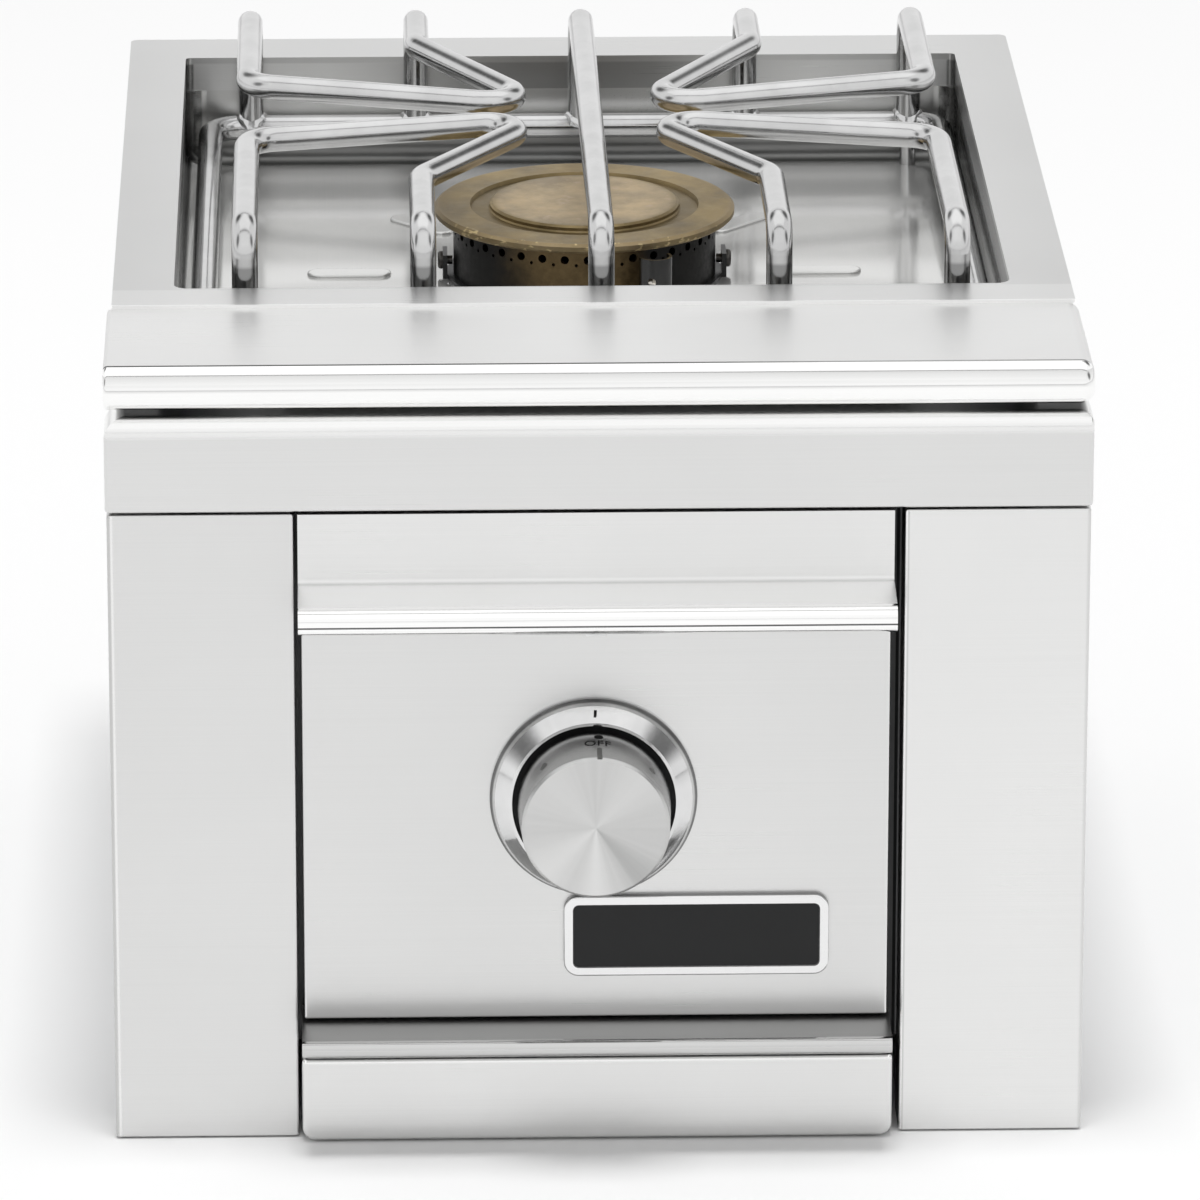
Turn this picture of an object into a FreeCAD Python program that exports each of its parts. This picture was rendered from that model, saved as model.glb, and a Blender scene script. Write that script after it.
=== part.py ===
import FreeCAD, Part
import math
import os

# Built-in side burner, in millimetres.
# The model is drawn from the front: X to the right, Y into the counter from the face of the
# fascia, Z up from the bottom edge of the front panels. Every piece is moved in Y at the end,
# so that the finished part stands on the middle of its own base.

# Outer form
overall_width = 330.0
deck_top = 274.8
deck_width = 327.0
deck_front = 71.0
deck_back = 418.5
deck_corner = 3.0
sheet = 1.2
hem_width = 14.0

# Opening in the deck
opening_width = 285.5
opening_front = 91.0
opening_back = 392.0
opening_lip = 12.5
opening_corner_rear = 2.0
opening_corner_front = 5.0

# Front rail and fascia
nose_radius = 7.5
nose_proud = 2.2
rail_tongue = 17.0
rail_end_round_left = 1.5
rail_end_round_right = 4.5
fascia_groove = 2.3
fascia_height = 32.8
fascia_roll = 5.0
fascia_corner_left = 7.0
fascia_corner_right = 4.0

# Front panels
panel_gap = 0.8
side_panel_width = 62.3
side_panel_inset = 0.5
side_panel_setback = 1.0
panel_edge = 1.5
front_shift = -1.1
middle_setback = 0.5
visor_play = 4.8
visor_strip = 24.1
visor_reach = 22.5
visor_fall = 3.3
visor_nose = 4.5
visor_underside = 12.0
control_play = 6.6
control_top_gap = 1.5

# Drip tray
handle_top = 41.8
handle_reach = 20.5
handle_nose = 3.0
handle_play = 5.0
handle_gap = 1.0
cover_play = 3.8
cover_shift = 0.4
cover_proud = 4.5
cover_base = 0.4
cover_corner = 4.5
cover_roll = 1.4
cover_gap = 6.0
drip_front = 17.0
drip_length = 362.0
drip_width = 184.0
drip_floor = 31.2
drip_wall = 1.0
drip_rim_gap = 0.4
runner_gap = 0.4
runner_width = 12.0
runner_guide = 7.0

# Housing behind the front
inner_wall_face = 20.0
wall_gap = 2.0
wall_door_gap = 1.5
floor_pan_level = 28.0
pan_flange = 10.0
vent_length = 40.0
floor_vent_length = 30.0
vent_height = 6.0
vent_count = 4

# Tray under the grate
tray_depth = 39.8
tray_wall = 1.0
tray_ease = 0.4
tray_floor_round = 6.0
tray_corner = 8.0
rim_clearance = 0.1
emboss_length = 30.0
emboss_width = 9.0
emboss_height = 1.2
emboss_gap = 22.2

# Burner
burner_x = 1.2
drum_radius = 46.8
drum_wall = 2.5
drum_height = 21.1
ring_plate = 1.5
ring_margin = 2.2
ear_margin = 3.8
ear_width = 12.0
ear_height = 8.6
ear_thick = 1.6
neck_radius = 16.0
neck_drop = 28.0
funnel_drop = 16.0
port_count = 36
port_radius = 1.5
port_drop = 4.3
pilot_port_radius = 0.6
pilot_port_drop = 6.2
cap_overhang = 6.7
cap_rim = 3.4
cap_groove_inset = 13.3
cap_groove_width = 6.4
cap_groove_depth = 1.3
cap_crown = 1.1
cap_spigot = 2.4
cap_clearance = 0.3

# Gas way
tube_wall = 1.5
tube_bend = 42.0
tube_fit = 0.05
tube_front = 96.0
shutter_length = 24.0
shutter_gap = 0.1
shutter_reach = 10.0
orifice_radius = 4.8
orifice_play = 0.4
orifice_hex = 12.7
orifice_length = 26.0
jet_radius = 0.8
valve_length = 34.0
valve_radius = 11.0
valve_flange = 34.0
valve_flange_thick = 3.0
outlet_radius = 6.5
outlet_length = 6.0
stem_radius = 4.0
stem_clearance = 0.06
stem_tail = 1.0
stem_end_room = 1.0
collar_radius = 7.5
collar_thick = 2.0
cavity_radius = 8.0
cavity_depth = 14.0
bonnet_depth = 6.0
manifold_radius = 10.7
manifold_drop = 30.0
manifold_left = -45.0
manifold_bore = 8.0
manifold_bend = 22.0
boss_radius = 9.0
boss_rise = 2.0
inlet_x = 118.0
inlet_radius = 7.94
inlet_length = 14.0
inlet_hex = 22.0
inlet_hex_length = 10.0

# Knob and bezel
knob_x = -2.0
knob_z = 122.4
knob_face_radius = 24.75
knob_base_radius = 25.9
knob_length = 23.0
knob_gap = 9.3
knob_edge = 0.8
knob_travel = 3.0
knob_wall = 2.0
hub_radius = 8.0
bezel_radius = 35.0
bezel_side = 1.2
bezel_rim_radius = 33.3
bezel_rim_height = 3.6
bezel_height = 7.8
bezel_mouth = 28.6
bezel_bore = 27.6
insert_thick = 1.5

# Igniter
igniter_angle = -65.6
igniter_gap = 10.2
collector_radius = 6.0
collector_height = 21.4
collector_sheet = 1.0
ceramic_radius = 2.4
ceramic_height = 11.5
electrode_radius = 0.8
lead_clearance = 0.3
module_length = 60.0
module_width = 24.0
module_height = 46.0

# Lamp under the visor
lens_width = 6.8
lens_x = -1.7
lens_depth = 6.0
lens_height = 1.2

# Grate of bent rod
rod_radius = 4.5
grate_x = 3.3
grate_rise = 17.7
loop_drop = 24.3
loop_shift = -1.8
loop_side_gap = 7.75
loop_end_gap = 9.0
loop_bend = 12.0
leg_inset = 13.2
leg_bend = 9.0
leg_sink = 1.0
finger_bend = 12.0
tip_bend = 10.0
tip_offset = 16.7
front_outer_run = 114.0
front_inner_run = 64.0
front_tip_run = 138.0
rear_outer_run = 95.0
rear_inner_run = 43.0
rear_tip_run = 127.0
foot_radius = 3.0

# Fasteners
screw_shank = 1.6
screw_head = 3.2
screw_head_height = 1.8
screw_clearance = 0.1

# Cutting tools of the holes, longer than any sheet is thick
cutter_reach = 10.0

# Places that follow from the sizes above
half_width = overall_width / 2
deck_under = deck_top - sheet
rail_top = deck_under
rail_bottom = rail_top - 2 * nose_radius
rail_front = -nose_proud
fascia_top = rail_bottom - fascia_groove
fascia_bottom = fascia_top - fascia_height
panel_top = fascia_bottom - panel_gap
half_opening = opening_width / 2
bay_width = overall_width - 2 * (side_panel_inset + side_panel_width)
visor_width = bay_width - visor_play
control_width = bay_width - control_play
handle_width = bay_width - handle_play
cover_width = bay_width - cover_play
burner_y = (opening_front + opening_back) / 2
ring_radius = drum_radius + ring_margin
ear_reach = drum_radius + ear_margin
cap_radius = drum_radius + cap_overhang
cap_groove_outer = cap_radius - cap_groove_inset
cap_groove_inner = cap_groove_outer - cap_groove_width
igniter_offset = drum_radius + igniter_gap
emboss_start = drum_radius + emboss_gap
loop_width = opening_width - 2 * loop_side_gap
loop_front = opening_front + loop_end_gap
loop_back = opening_back - loop_end_gap
leg_pitch = (loop_width / 2 - leg_inset) / 2
side_wall_face = half_opening + sheet + wall_gap
back_wall_face = opening_back + sheet + wall_gap
tray_rim_top = deck_top - opening_lip
tray_floor = deck_top - tray_depth
visor_bend = panel_top - visor_strip
visor_front = middle_setback - visor_reach
visor_bottom = visor_bend - visor_fall - 2 * visor_nose
handle_bottom = handle_top - 2 * handle_nose
cover_top = handle_bottom - cover_gap
drip_back = drip_front + drip_length
drip_top = handle_top - drip_rim_gap
half_drip = drip_width / 2
drum_base = tray_floor + ring_plate
drum_top = drum_base + drum_height
head_base = drum_base + drum_wall
neck_end = drum_base - funnel_drop - neck_drop
tube_radius = neck_radius + tube_fit + tube_wall
valve_face = inner_wall_face + sheet
valve_back = valve_face + valve_length
manifold_z = knob_z - manifold_drop
manifold_y = valve_face + valve_length * 0.6
rod_level = deck_top + grate_rise
loop_level = deck_top - loop_drop
knob_rear = middle_setback - knob_gap
knob_face = knob_rear - knob_length
origin_y = (knob_face + deck_back) / 2

X_AXIS = FreeCAD.Vector(1, 0, 0)
Y_AXIS = FreeCAD.Vector(0, 1, 0)
Z_AXIS = FreeCAD.Vector(0, 0, 1)


def vec(x, y, z):
    return FreeCAD.Vector(x, y, z)


def block(x0, x1, y0, y1, z0, z1):
    return Part.makeBox(x1 - x0, y1 - y0, z1 - z0, vec(x0, y0, z0))


def bent_rod(points, radii, radius):
    """Round rod through the points, in one piece."""
    pieces = rod_stretches(points, radii, radius)
    return pieces[0].multiFuse(pieces[1:])


def rod_stretches(points, radii, radius):
    """The straight stretches of a rod, with an elbow of its own radius at each bend."""
    pieces = []
    last = points[0]
    for before, corner, after, bend in zip(points, points[1:], points[2:], radii):
        into = (corner - before).normalize()
        out = (after - corner).normalize()
        turn = into.getAngle(out)
        reach = bend * math.tan(turn / 2)
        start = corner - into * reach
        axis = into.cross(out).normalize()
        centre = start + axis.cross(into) * bend
        disc = Part.Face(Part.Wire([Part.makeCircle(radius, start, into)]))
        pieces.append(Part.makeCylinder(radius, (start - last).Length, last, into))
        pieces.append(disc.revolve(centre, axis, math.degrees(turn)))
        last = corner + out * reach
    pieces.append(Part.makeCylinder(radius, (points[-1] - last).Length, last, points[-1] - last))
    return pieces


def closed_profile(points, radii):
    """A closed face through the points, each corner rounded by its own radius."""
    count = len(points)
    edges = []
    ends = []
    for index in range(count):
        before = points[index - 1]
        corner = points[index]
        after = points[(index + 1) % count]
        into = (corner - before).normalize()
        out = (after - corner).normalize()
        radius = radii[index]
        reach = radius * math.tan(into.getAngle(out) / 2)
        ends.append((corner - into * reach, corner + out * reach))
        if radius > 0:
            inward = (out - into).normalize()
            depth = radius / math.cos(into.getAngle(out) / 2) - radius
            edges.append(Part.Arc(ends[-1][0], corner + inward * depth, ends[-1][1]).toShape())
    for index in range(count):
        start = ends[index - 1][1]
        end = ends[index][0]
        if (end - start).Length > 0.001:
            edges.append(Part.makeLine(start, end))
    return Part.Face(Part.Wire(Part.sortEdges(edges)[0]))


def rounded_plate(x0, x1, y0, y1, z0, z1, front_radius, rear_radius):
    """A flat plate in plan, with one radius at its front corners and one at its rear corners."""
    points = [vec(x0, y0, z0), vec(x1, y0, z0), vec(x1, y1, z0), vec(x0, y1, z0)]
    radii = [front_radius, front_radius, rear_radius, rear_radius]
    return closed_profile(points, radii).extrude(vec(0, 0, z1 - z0))


def front_plate(x0, x1, z0, z1, y0, y1, top_radius, bottom_radius):
    """A plate seen from the front, with rounded upper and lower corners."""
    points = [vec(x0, y0, z0), vec(x1, y0, z0), vec(x1, y0, z1), vec(x0, y0, z1)]
    radii = [bottom_radius, bottom_radius, top_radius, top_radius]
    return closed_profile(points, radii).extrude(vec(0, y1 - y0, 0))


def edges_at_front(shape, y):
    chosen = []
    for edge in shape.Edges:
        box = edge.BoundBox
        if abs(box.YMin - y) < 0.001 and abs(box.YMax - y) < 0.001:
            chosen.append(edge)
    return chosen


def pan(x0, x1, z0, z1, face, back, corner, edge, bottom_corner=None):
    """A folded sheet panel: a face with returns on all four sides, open at the back."""
    low_corner = corner if bottom_corner is None else bottom_corner
    outer = front_plate(x0, x1, z0, z1, face, back, corner, low_corner)
    outer = outer.makeFillet(edge, edges_at_front(outer, face))
    inner = front_plate(x0 + sheet, x1 - sheet, z0 + sheet, z1 - sheet, face + sheet, back + 1,
                        max(corner - sheet, 0.3), max(low_corner - sheet, 0.3))
    return outer.cut(inner)


def along_x(points, radii, x0, x1):
    """A profile drawn in the YZ plane as (y, z) pairs and carried along X."""
    corners = [vec(x0, y, z) for y, z in points]
    return closed_profile(corners, radii).extrude(vec(x1 - x0, 0, 0))


def turned(points, centre, axis):
    """A solid of revolution from (radius, height) pairs about an axis through the centre."""
    face = Part.Face(Part.makePolygon([vec(r, 0, h) for r, h in points + points[:1]]))
    solid = face.revolve(vec(0, 0, 0), Z_AXIS, 360)
    turn = FreeCAD.Rotation(Z_AXIS, axis)
    solid.Placement = FreeCAD.Placement(centre, turn)
    return solid


def stadium(centre_x, centre_y, level, length, width, height, angle):
    """A raised or cut slot with round ends, lying flat, its length along the angle."""
    half = (length - width) / 2
    radius = width / 2
    middle = Part.makeBox(2 * half, width, height, vec(-half, -radius, 0))
    left = Part.makeCylinder(radius, height, vec(-half, 0, 0))
    right = Part.makeCylinder(radius, height, vec(half, 0, 0))
    slot = middle.multiFuse([left, right]).removeSplitter()
    slot.rotate(vec(0, 0, 0), Z_AXIS, angle)
    slot.translate(vec(centre_x, centre_y, level))
    return slot


def hexagon(across_flats, height, base, axis):
    corner = across_flats / math.sqrt(3)
    points = []
    for index in range(7):
        angle = math.radians(60 * index)
        points.append(vec(corner * math.cos(angle), corner * math.sin(angle), 0))
    solid = Part.Face(Part.makePolygon(points)).extrude(vec(0, 0, height))
    solid.Placement = FreeCAD.Placement(base, FreeCAD.Rotation(Z_AXIS, axis))
    return solid


def write(name, shape):
    if isinstance(shape, list):
        shape = Part.makeCompound(shape)
    moved = shape.copy()
    moved.translate(vec(0, -origin_y, 0))
    moved.exportStep(os.path.join("parts", name + ".step"))


# Top


def deck_frame():
    """Top sheet with hemmed outer edges and a lip turned down round the opening."""
    half_deck = deck_width / 2
    plate = rounded_plate(-half_deck, half_deck, deck_front, deck_back, deck_under, deck_top,
                          0.5, deck_corner)
    hem_front = deck_front + rail_tongue + sheet
    hem = rounded_plate(-half_deck, half_deck, hem_front, deck_back, deck_under - sheet,
                        deck_under, 0.5, deck_corner)
    hem_hole = rounded_plate(-half_deck + hem_width, half_deck - hem_width, hem_front - 1,
                             deck_back - hem_width, deck_under - 2 * sheet, deck_under, 0.5, 1.0)
    lip = rounded_plate(-half_opening - sheet, half_opening + sheet, opening_front - sheet,
                        opening_back + sheet, tray_rim_top, deck_under,
                        opening_corner_front + sheet, opening_corner_rear + sheet)
    hole = rounded_plate(-half_opening, half_opening, opening_front, opening_back,
                         tray_rim_top - 1, deck_top + 1, opening_corner_front, opening_corner_rear)
    body = plate.multiFuse([hem.cut(hem_hole), lip]).cut(hole)
    return body.removeSplitter()


def front_rail():
    """Front sheet with its half-round nose, closed ends and a tongue under the deck."""
    points = [(rail_front, rail_bottom), (deck_front, rail_bottom), (deck_front, rail_top),
              (rail_front, rail_top)]
    round_nose = nose_radius - 0.01
    outer = along_x(points, [round_nose, 0, 0, round_nose], -half_width, half_width)
    outer = soften_end(outer, half_width, rail_end_round_right, rail_bottom)
    outer = soften_end(outer, -half_width, rail_end_round_left, rail_bottom)
    inner_points = [(rail_front + sheet, rail_bottom + sheet), (deck_front + 1, rail_bottom + sheet),
                    (deck_front + 1, rail_top - sheet), (rail_front + sheet, rail_top - sheet)]
    inner_round = round_nose - sheet
    inner = along_x(inner_points, [inner_round, 0, 0, inner_round], -half_width + sheet,
                    half_width - sheet)
    inner = soften_end(inner, half_width - sheet, rail_end_round_right - sheet, rail_bottom + sheet)
    under = block(-half_width + sheet, half_width - sheet, inner_wall_face, deck_front + 1,
                  rail_bottom - 1, rail_bottom + 2 * sheet)
    tongue = block(-half_width + 2 * sheet, half_width - 2 * sheet, deck_front - sheet,
                   deck_front + rail_tongue, rail_top - sheet, rail_top)
    return outer.cut(inner).cut(under).fuse(tongue).removeSplitter()


def soften_end(shape, x, radius, bottom):
    """Round the edges where the nose meets one end, apart from its straight lower edge."""
    chosen = []
    for edge in shape.Edges:
        box = edge.BoundBox
        if abs(box.XMin - x) < 0.001 and abs(box.XMax - x) < 0.001:
            if box.YMin < nose_radius and box.ZMax > bottom + 0.1:
                chosen.append(edge)
    return shape.makeFillet(radius, chosen)


def fascia():
    """Strip under the nose, rolled at its top, with closed ends."""
    points = [(0, fascia_bottom), (inner_wall_face, fascia_bottom), (inner_wall_face, fascia_top),
              (0, fascia_top)]
    outer = along_x(points, [panel_edge, 0, 0, fascia_roll], -half_width, half_width)
    ends = []
    for edge in outer.Edges:
        box = edge.BoundBox
        at_end = abs(abs(box.XMin) - half_width) < 0.001 and abs(box.XLength) < 0.001
        if at_end and box.YMax < fascia_roll + 0.1:
            ends.append(edge)
    outer = outer.makeFillet(panel_edge - 0.1, ends)
    outer = outer.common(fascia_outline(0, inner_wall_face))
    inner_points = [(sheet, fascia_bottom + sheet), (inner_wall_face + 1, fascia_bottom + sheet),
                    (inner_wall_face + 1, fascia_top - sheet), (sheet, fascia_top - sheet)]
    inner = along_x(inner_points, [0.3, 0, 0, fascia_roll - sheet], -half_width + sheet,
                    half_width - sheet)
    return outer.cut(inner.common(fascia_outline(sheet, inner_wall_face + 1)))


def fascia_outline(inset, back):
    """The front view of the fascia, its upper corners rounded off, as a block to cut with."""
    reach = half_width - inset
    points = [vec(-reach, 0, fascia_bottom), vec(reach, 0, fascia_bottom),
              vec(reach, 0, fascia_top - inset), vec(-reach, 0, fascia_top - inset)]
    radii = [0, 0, fascia_corner_right - inset, fascia_corner_left - inset]
    return closed_profile(points, radii).extrude(vec(0, back, 0))


# Front panels


def side_panel(side):
    """Flat panel beside the control panel; side is -1 for the left and 1 for the right."""
    outer_edge = side * (half_width - side_panel_inset)
    inner_edge = outer_edge - side * side_panel_width
    low = min(outer_edge, inner_edge)
    high = max(outer_edge, inner_edge)
    return pan(low, high, 0, panel_top, side_panel_setback, inner_wall_face, 1.0, panel_edge - 0.6)


def visor():
    """Upper strip that bends out into a shade with a rolled lip."""
    x0 = front_shift - visor_width / 2
    x1 = front_shift + visor_width / 2
    outer_points = [(middle_setback, panel_top), (middle_setback, visor_bend),
                    (visor_front, visor_bend - visor_fall), (visor_front, visor_bottom),
                    (visor_front + visor_underside, visor_bottom),
                    (visor_front + visor_underside, visor_bottom + sheet),
                    (middle_setback + sheet, visor_bottom + sheet), (middle_setback + sheet, panel_top)]
    lip = visor_nose - 0.4
    outer = along_x(outer_points, [0, 2.0, lip, lip, 0, 0, 0, 0], x0, x1)
    slope = visor_fall / visor_reach
    inner_points = [(middle_setback - 1, visor_bend - 2 * sheet - slope),
                    (visor_front + sheet, visor_bend - visor_fall - sheet),
                    (visor_front + sheet, visor_bottom + sheet),
                    (middle_setback - 1, visor_bottom + sheet)]
    inner = along_x(inner_points, [0.5, lip - sheet, lip - sheet, 0.5], x0 + sheet, x1 - sheet)
    hollow = block(x0 + sheet, x1 - sheet, visor_front + visor_underside, middle_setback - 1,
                   visor_bottom - 1, visor_bottom + 2 * sheet)
    flange = block(x0, x1, middle_setback + sheet, inner_wall_face, panel_top - sheet, panel_top)
    return outer.cut(inner).cut(hollow).fuse(flange).removeSplitter()


def control_panel():
    """Brushed panel that carries the knob, with returns to the inner wall."""
    x0 = front_shift - control_width / 2
    x1 = front_shift + control_width / 2
    top = visor_bottom - control_top_gap
    body = pan(x0, x1, handle_top + handle_gap, top, middle_setback, inner_wall_face, 0.6,
               panel_edge - 0.6)
    hole = Part.makeCylinder(hub_radius + 1.5, inner_wall_face, vec(knob_x, 0, knob_z), Y_AXIS)
    return body.cut(hole)


# Drip tray


def drip_tray_handle():
    """Shelf under the control panel with a small rolled nose, the pull of the drip tray."""
    x0 = front_shift - handle_width / 2
    x1 = front_shift + handle_width / 2
    nose = handle_nose - 0.01
    points = [(-handle_reach, handle_bottom), (drip_front, handle_bottom),
              (drip_front, handle_top), (-handle_reach, handle_top)]
    outer = along_x(points, [nose, 0, 0, nose], x0, x1)
    inner_points = [(sheet - handle_reach, handle_bottom + sheet),
                    (drip_front + 1, handle_bottom + sheet),
                    (drip_front + 1, handle_top - sheet),
                    (sheet - handle_reach, handle_top - sheet)]
    inner = along_x(inner_points, [nose - sheet, 0, 0, nose - sheet], x0 + sheet, x1 - sheet)
    return outer.cut(inner)


def drip_tray_cover():
    """Lower front of the drip tray with rolled edges, hung from the handle by a tongue."""
    x0 = front_shift + cover_shift - cover_width / 2
    x1 = x0 + cover_width
    front = pan(x0, x1, cover_base, cover_top, -cover_proud, drip_front, panel_edge, cover_roll,
                cover_corner)
    tongue = block(x0 + 2 * sheet, x1 - 2 * sheet, drip_front - sheet, drip_front, cover_top - sheet,
                   handle_bottom)
    return front.fuse(tongue).removeSplitter()


def drip_tray_box():
    """Shallow open box that slides in over the floor of the housing: a floor and four walls on it."""
    foot = drip_floor + drip_wall
    inside = half_drip - drip_wall
    parts = [block(-half_drip, half_drip, drip_front, drip_back, drip_floor, foot)]
    for left in (-half_drip, inside):
        parts.append(block(left, left + drip_wall, drip_front, drip_back, foot, drip_top))
    for front in (drip_front, drip_back - drip_wall):
        parts.append(block(-inside, inside, front, front + drip_wall, foot, drip_top))
    return parts


def drip_tray_runner(side):
    """Angle that carries one side of the drip tray and guides it."""
    base = floor_pan_level + sheet
    guide = half_drip + runner_gap
    low = min(side * (guide - runner_width), side * guide)
    high = max(side * (guide - runner_width), side * guide)
    front = inner_wall_face + sheet
    foot = block(low, high, front, drip_back, base, drip_floor)
    wall_low = min(side * guide, side * (guide + sheet))
    wall_high = max(side * guide, side * (guide + sheet))
    wall = block(wall_low, wall_high, front, drip_back, base, base + runner_guide)
    return foot.fuse(wall).removeSplitter()


# Housing


def vent_row(x, y0, y1, level):
    """Slots for air through a side wall, evenly spaced between two places."""
    slots = []
    pitch = (y1 - y0) / vent_count
    for index in range(vent_count):
        middle = y0 + pitch * (index + 0.5)
        slot = stadium(0, 0, -5, vent_length, vent_height, 10, 90)
        slot.rotate(vec(0, 0, 0), Y_AXIS, 90)
        slot.translate(vec(x, middle, level))
        slots.append(slot)
    return slots


def side_wall(side):
    """Side of the housing, from the base to the underside of the deck."""
    near = side * side_wall_face
    far = side * (side_wall_face + sheet)
    wall = block(min(near, far), max(near, far), inner_wall_face + sheet, back_wall_face, 0, deck_under)
    tongue_room = block(min(near, far) - 1, max(near, far) + 1, 0, deck_front + rail_tongue + 0.5,
                        rail_top - sheet, deck_top)
    level = (floor_pan_level + tray_floor) / 2
    slots = vent_row((near + far) / 2, valve_face + vent_length, back_wall_face - vent_length, level)
    holes = [screw_hole(place, X_AXIS) for place in wall_screw_places(side)]
    return wall.cut(tongue_room).cut(Part.makeCompound(slots)).cut(Part.makeCompound(holes))


def back_wall():
    """Back of the housing between the ends of the side walls."""
    reach = side_wall_face + sheet
    wall = block(-reach, reach, back_wall_face, back_wall_face + sheet, 0, deck_under)
    slots = []
    for index in range(vent_count):
        middle = (index + 0.5 - vent_count / 2) * (vent_length + 2 * vent_height)
        slot = stadium(0, 0, -5, vent_length, vent_height, 10, 0)
        slot.rotate(vec(0, 0, 0), X_AXIS, 90)
        slot.translate(vec(middle, back_wall_face, (floor_pan_level + tray_floor) / 2))
        slots.append(slot)
    return wall.cut(Part.makeCompound(slots))


def inner_wall():
    """Dark wall behind the front panels, which carries them and the valve."""
    reach = side_wall_face + sheet
    wall = block(-reach, reach, inner_wall_face, inner_wall_face + sheet, floor_pan_level,
                 rail_top - sheet)
    hole = Part.makeCylinder(hub_radius, 3 * sheet, vec(knob_x, inner_wall_face - sheet, knob_z), Y_AXIS)
    door_half = half_drip + wall_door_gap
    door = block(-door_half, door_half, 0, valve_face + 1, 0, drip_top + wall_door_gap)
    holes = [screw_hole(place, Y_AXIS) for place in valve_screw_places()]
    return wall.cut(hole).cut(door).cut(Part.makeCompound(holes))


def floor_pan():
    """Bottom of the housing with turned-up flanges, air slots and the hole for the inlet."""
    reach = side_wall_face - rim_clearance
    front = inner_wall_face + sheet
    back = back_wall_face - rim_clearance
    body = block(-reach, reach, front, back, floor_pan_level, floor_pan_level + sheet + pan_flange)
    room = block(-reach + sheet, reach - sheet, front - 1, back - sheet, floor_pan_level + sheet,
                 floor_pan_level + 2 * sheet + pan_flange)
    inlet_hole = Part.makeCylinder(inlet_radius + 4, 4 * sheet,
                                   vec(inlet_x, manifold_y, floor_pan_level - sheet), Z_AXIS)
    slots = []
    for side in (-1, 1):
        for index in range(vent_count):
            place_y = burner_y + (index + 0.5 - vent_count / 2) * 3 * vent_height
            slots.append(stadium(side * (half_drip + reach) / 2, place_y, floor_pan_level - 1,
                                 floor_vent_length, vent_height, 3 * sheet, 0))
    holes = []
    for side in (-1, 1):
        for place in wall_screw_places(side):
            holes.append(screw_hole(place, X_AXIS))
    body = body.cut(room).cut(inlet_hole).cut(Part.makeCompound(slots))
    return body.cut(Part.makeCompound(holes))


# Tray


def burner_tray():
    """Drawn tray with a rim under the deck lip, raised beads and the burner hole."""
    half_inside = half_opening + tray_ease
    inside_front = opening_front - tray_ease
    inside_back = opening_back + tray_ease
    half_outside = half_inside + tray_wall
    outer = rounded_plate(-half_outside, half_outside, inside_front - tray_wall,
                          inside_back + tray_wall, tray_floor - tray_wall, tray_rim_top,
                          tray_corner + tray_wall, tray_corner + tray_wall)
    outer = outer.makeFillet(tray_floor_round + tray_wall, edges_at_level(outer, tray_floor - tray_wall))
    inner = rounded_plate(-half_inside, half_inside, inside_front, inside_back, tray_floor,
                          tray_rim_top + 1, tray_corner, tray_corner)
    inner = inner.makeFillet(tray_floor_round, edges_at_level(inner, tray_floor))
    rim_half = side_wall_face - rim_clearance
    rim = rounded_plate(-rim_half, rim_half, inside_front - tray_wall - wall_gap / 2,
                        back_wall_face - rim_clearance, tray_rim_top - tray_wall, tray_rim_top, 2, 2)
    body = outer.fuse(rim).cut(inner)
    below = tray_floor - cutter_reach
    hole = Part.makeCylinder(drum_radius - 2 * drum_wall, 2 * cutter_reach, vec(burner_x, burner_y, below))
    igniter = igniter_place()
    lead_place = vec(igniter.x, igniter.y, below)
    lead_hole = Part.makeCylinder(ceramic_radius + lead_clearance, 2 * cutter_reach, lead_place)
    beads = []
    for angle in (0, 47, 133, 180, 227, 313):
        middle = emboss_start + emboss_length / 2
        x = burner_x + middle * math.cos(math.radians(angle))
        y = burner_y + middle * math.sin(math.radians(angle))
        bead = stadium(x, y, tray_floor, emboss_length, emboss_width, emboss_height, angle)
        top = [e for e in bead.Edges if e.BoundBox.ZMin > tray_floor + emboss_height - 0.01]
        beads.append(bead.makeFillet(emboss_height * 0.7, top))
    return body.cut(hole).cut(lead_hole).multiFuse(beads).removeSplitter()


def edges_at_level(shape, z):
    chosen = []
    for edge in shape.Edges:
        box = edge.BoundBox
        if abs(box.ZMin - z) < 0.001 and abs(box.ZMax - z) < 0.001:
            chosen.append(edge)
    return chosen


# Burner


def holder_ring():
    """Dark ring on the tray floor that carries the burner, with two upright ears."""
    centre = vec(burner_x, burner_y, tray_floor)
    inner_radius = drum_radius - 2 * drum_wall
    plate = Part.makeCylinder(ring_radius, ring_plate, centre)
    parts = []
    for side in (-1, 1):
        inside = side * (ear_reach - ear_thick)
        outside = side * ear_reach
        low = burner_x + min(inside, outside)
        high = burner_x + max(inside, outside)
        root = burner_x + side * (inner_radius + 2)
        foot = block(min(root, low), max(root, high), burner_y - ear_width / 2,
                     burner_y + ear_width / 2, tray_floor, tray_floor + ring_plate)
        ear = block(low, high, burner_y - ear_width / 2, burner_y + ear_width / 2, tray_floor,
                    tray_floor + ear_height)
        parts.append(foot)
        parts.append(ear)
    body = plate.multiFuse(parts)
    body = body.cut(Part.makeCylinder(inner_radius, 3 * ring_plate, centre - Z_AXIS))
    holes = [screw_hole(place, X_AXIS) for place in holder_screw_places()]
    return body.cut(Part.makeCompound(holes)).removeSplitter()


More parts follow.
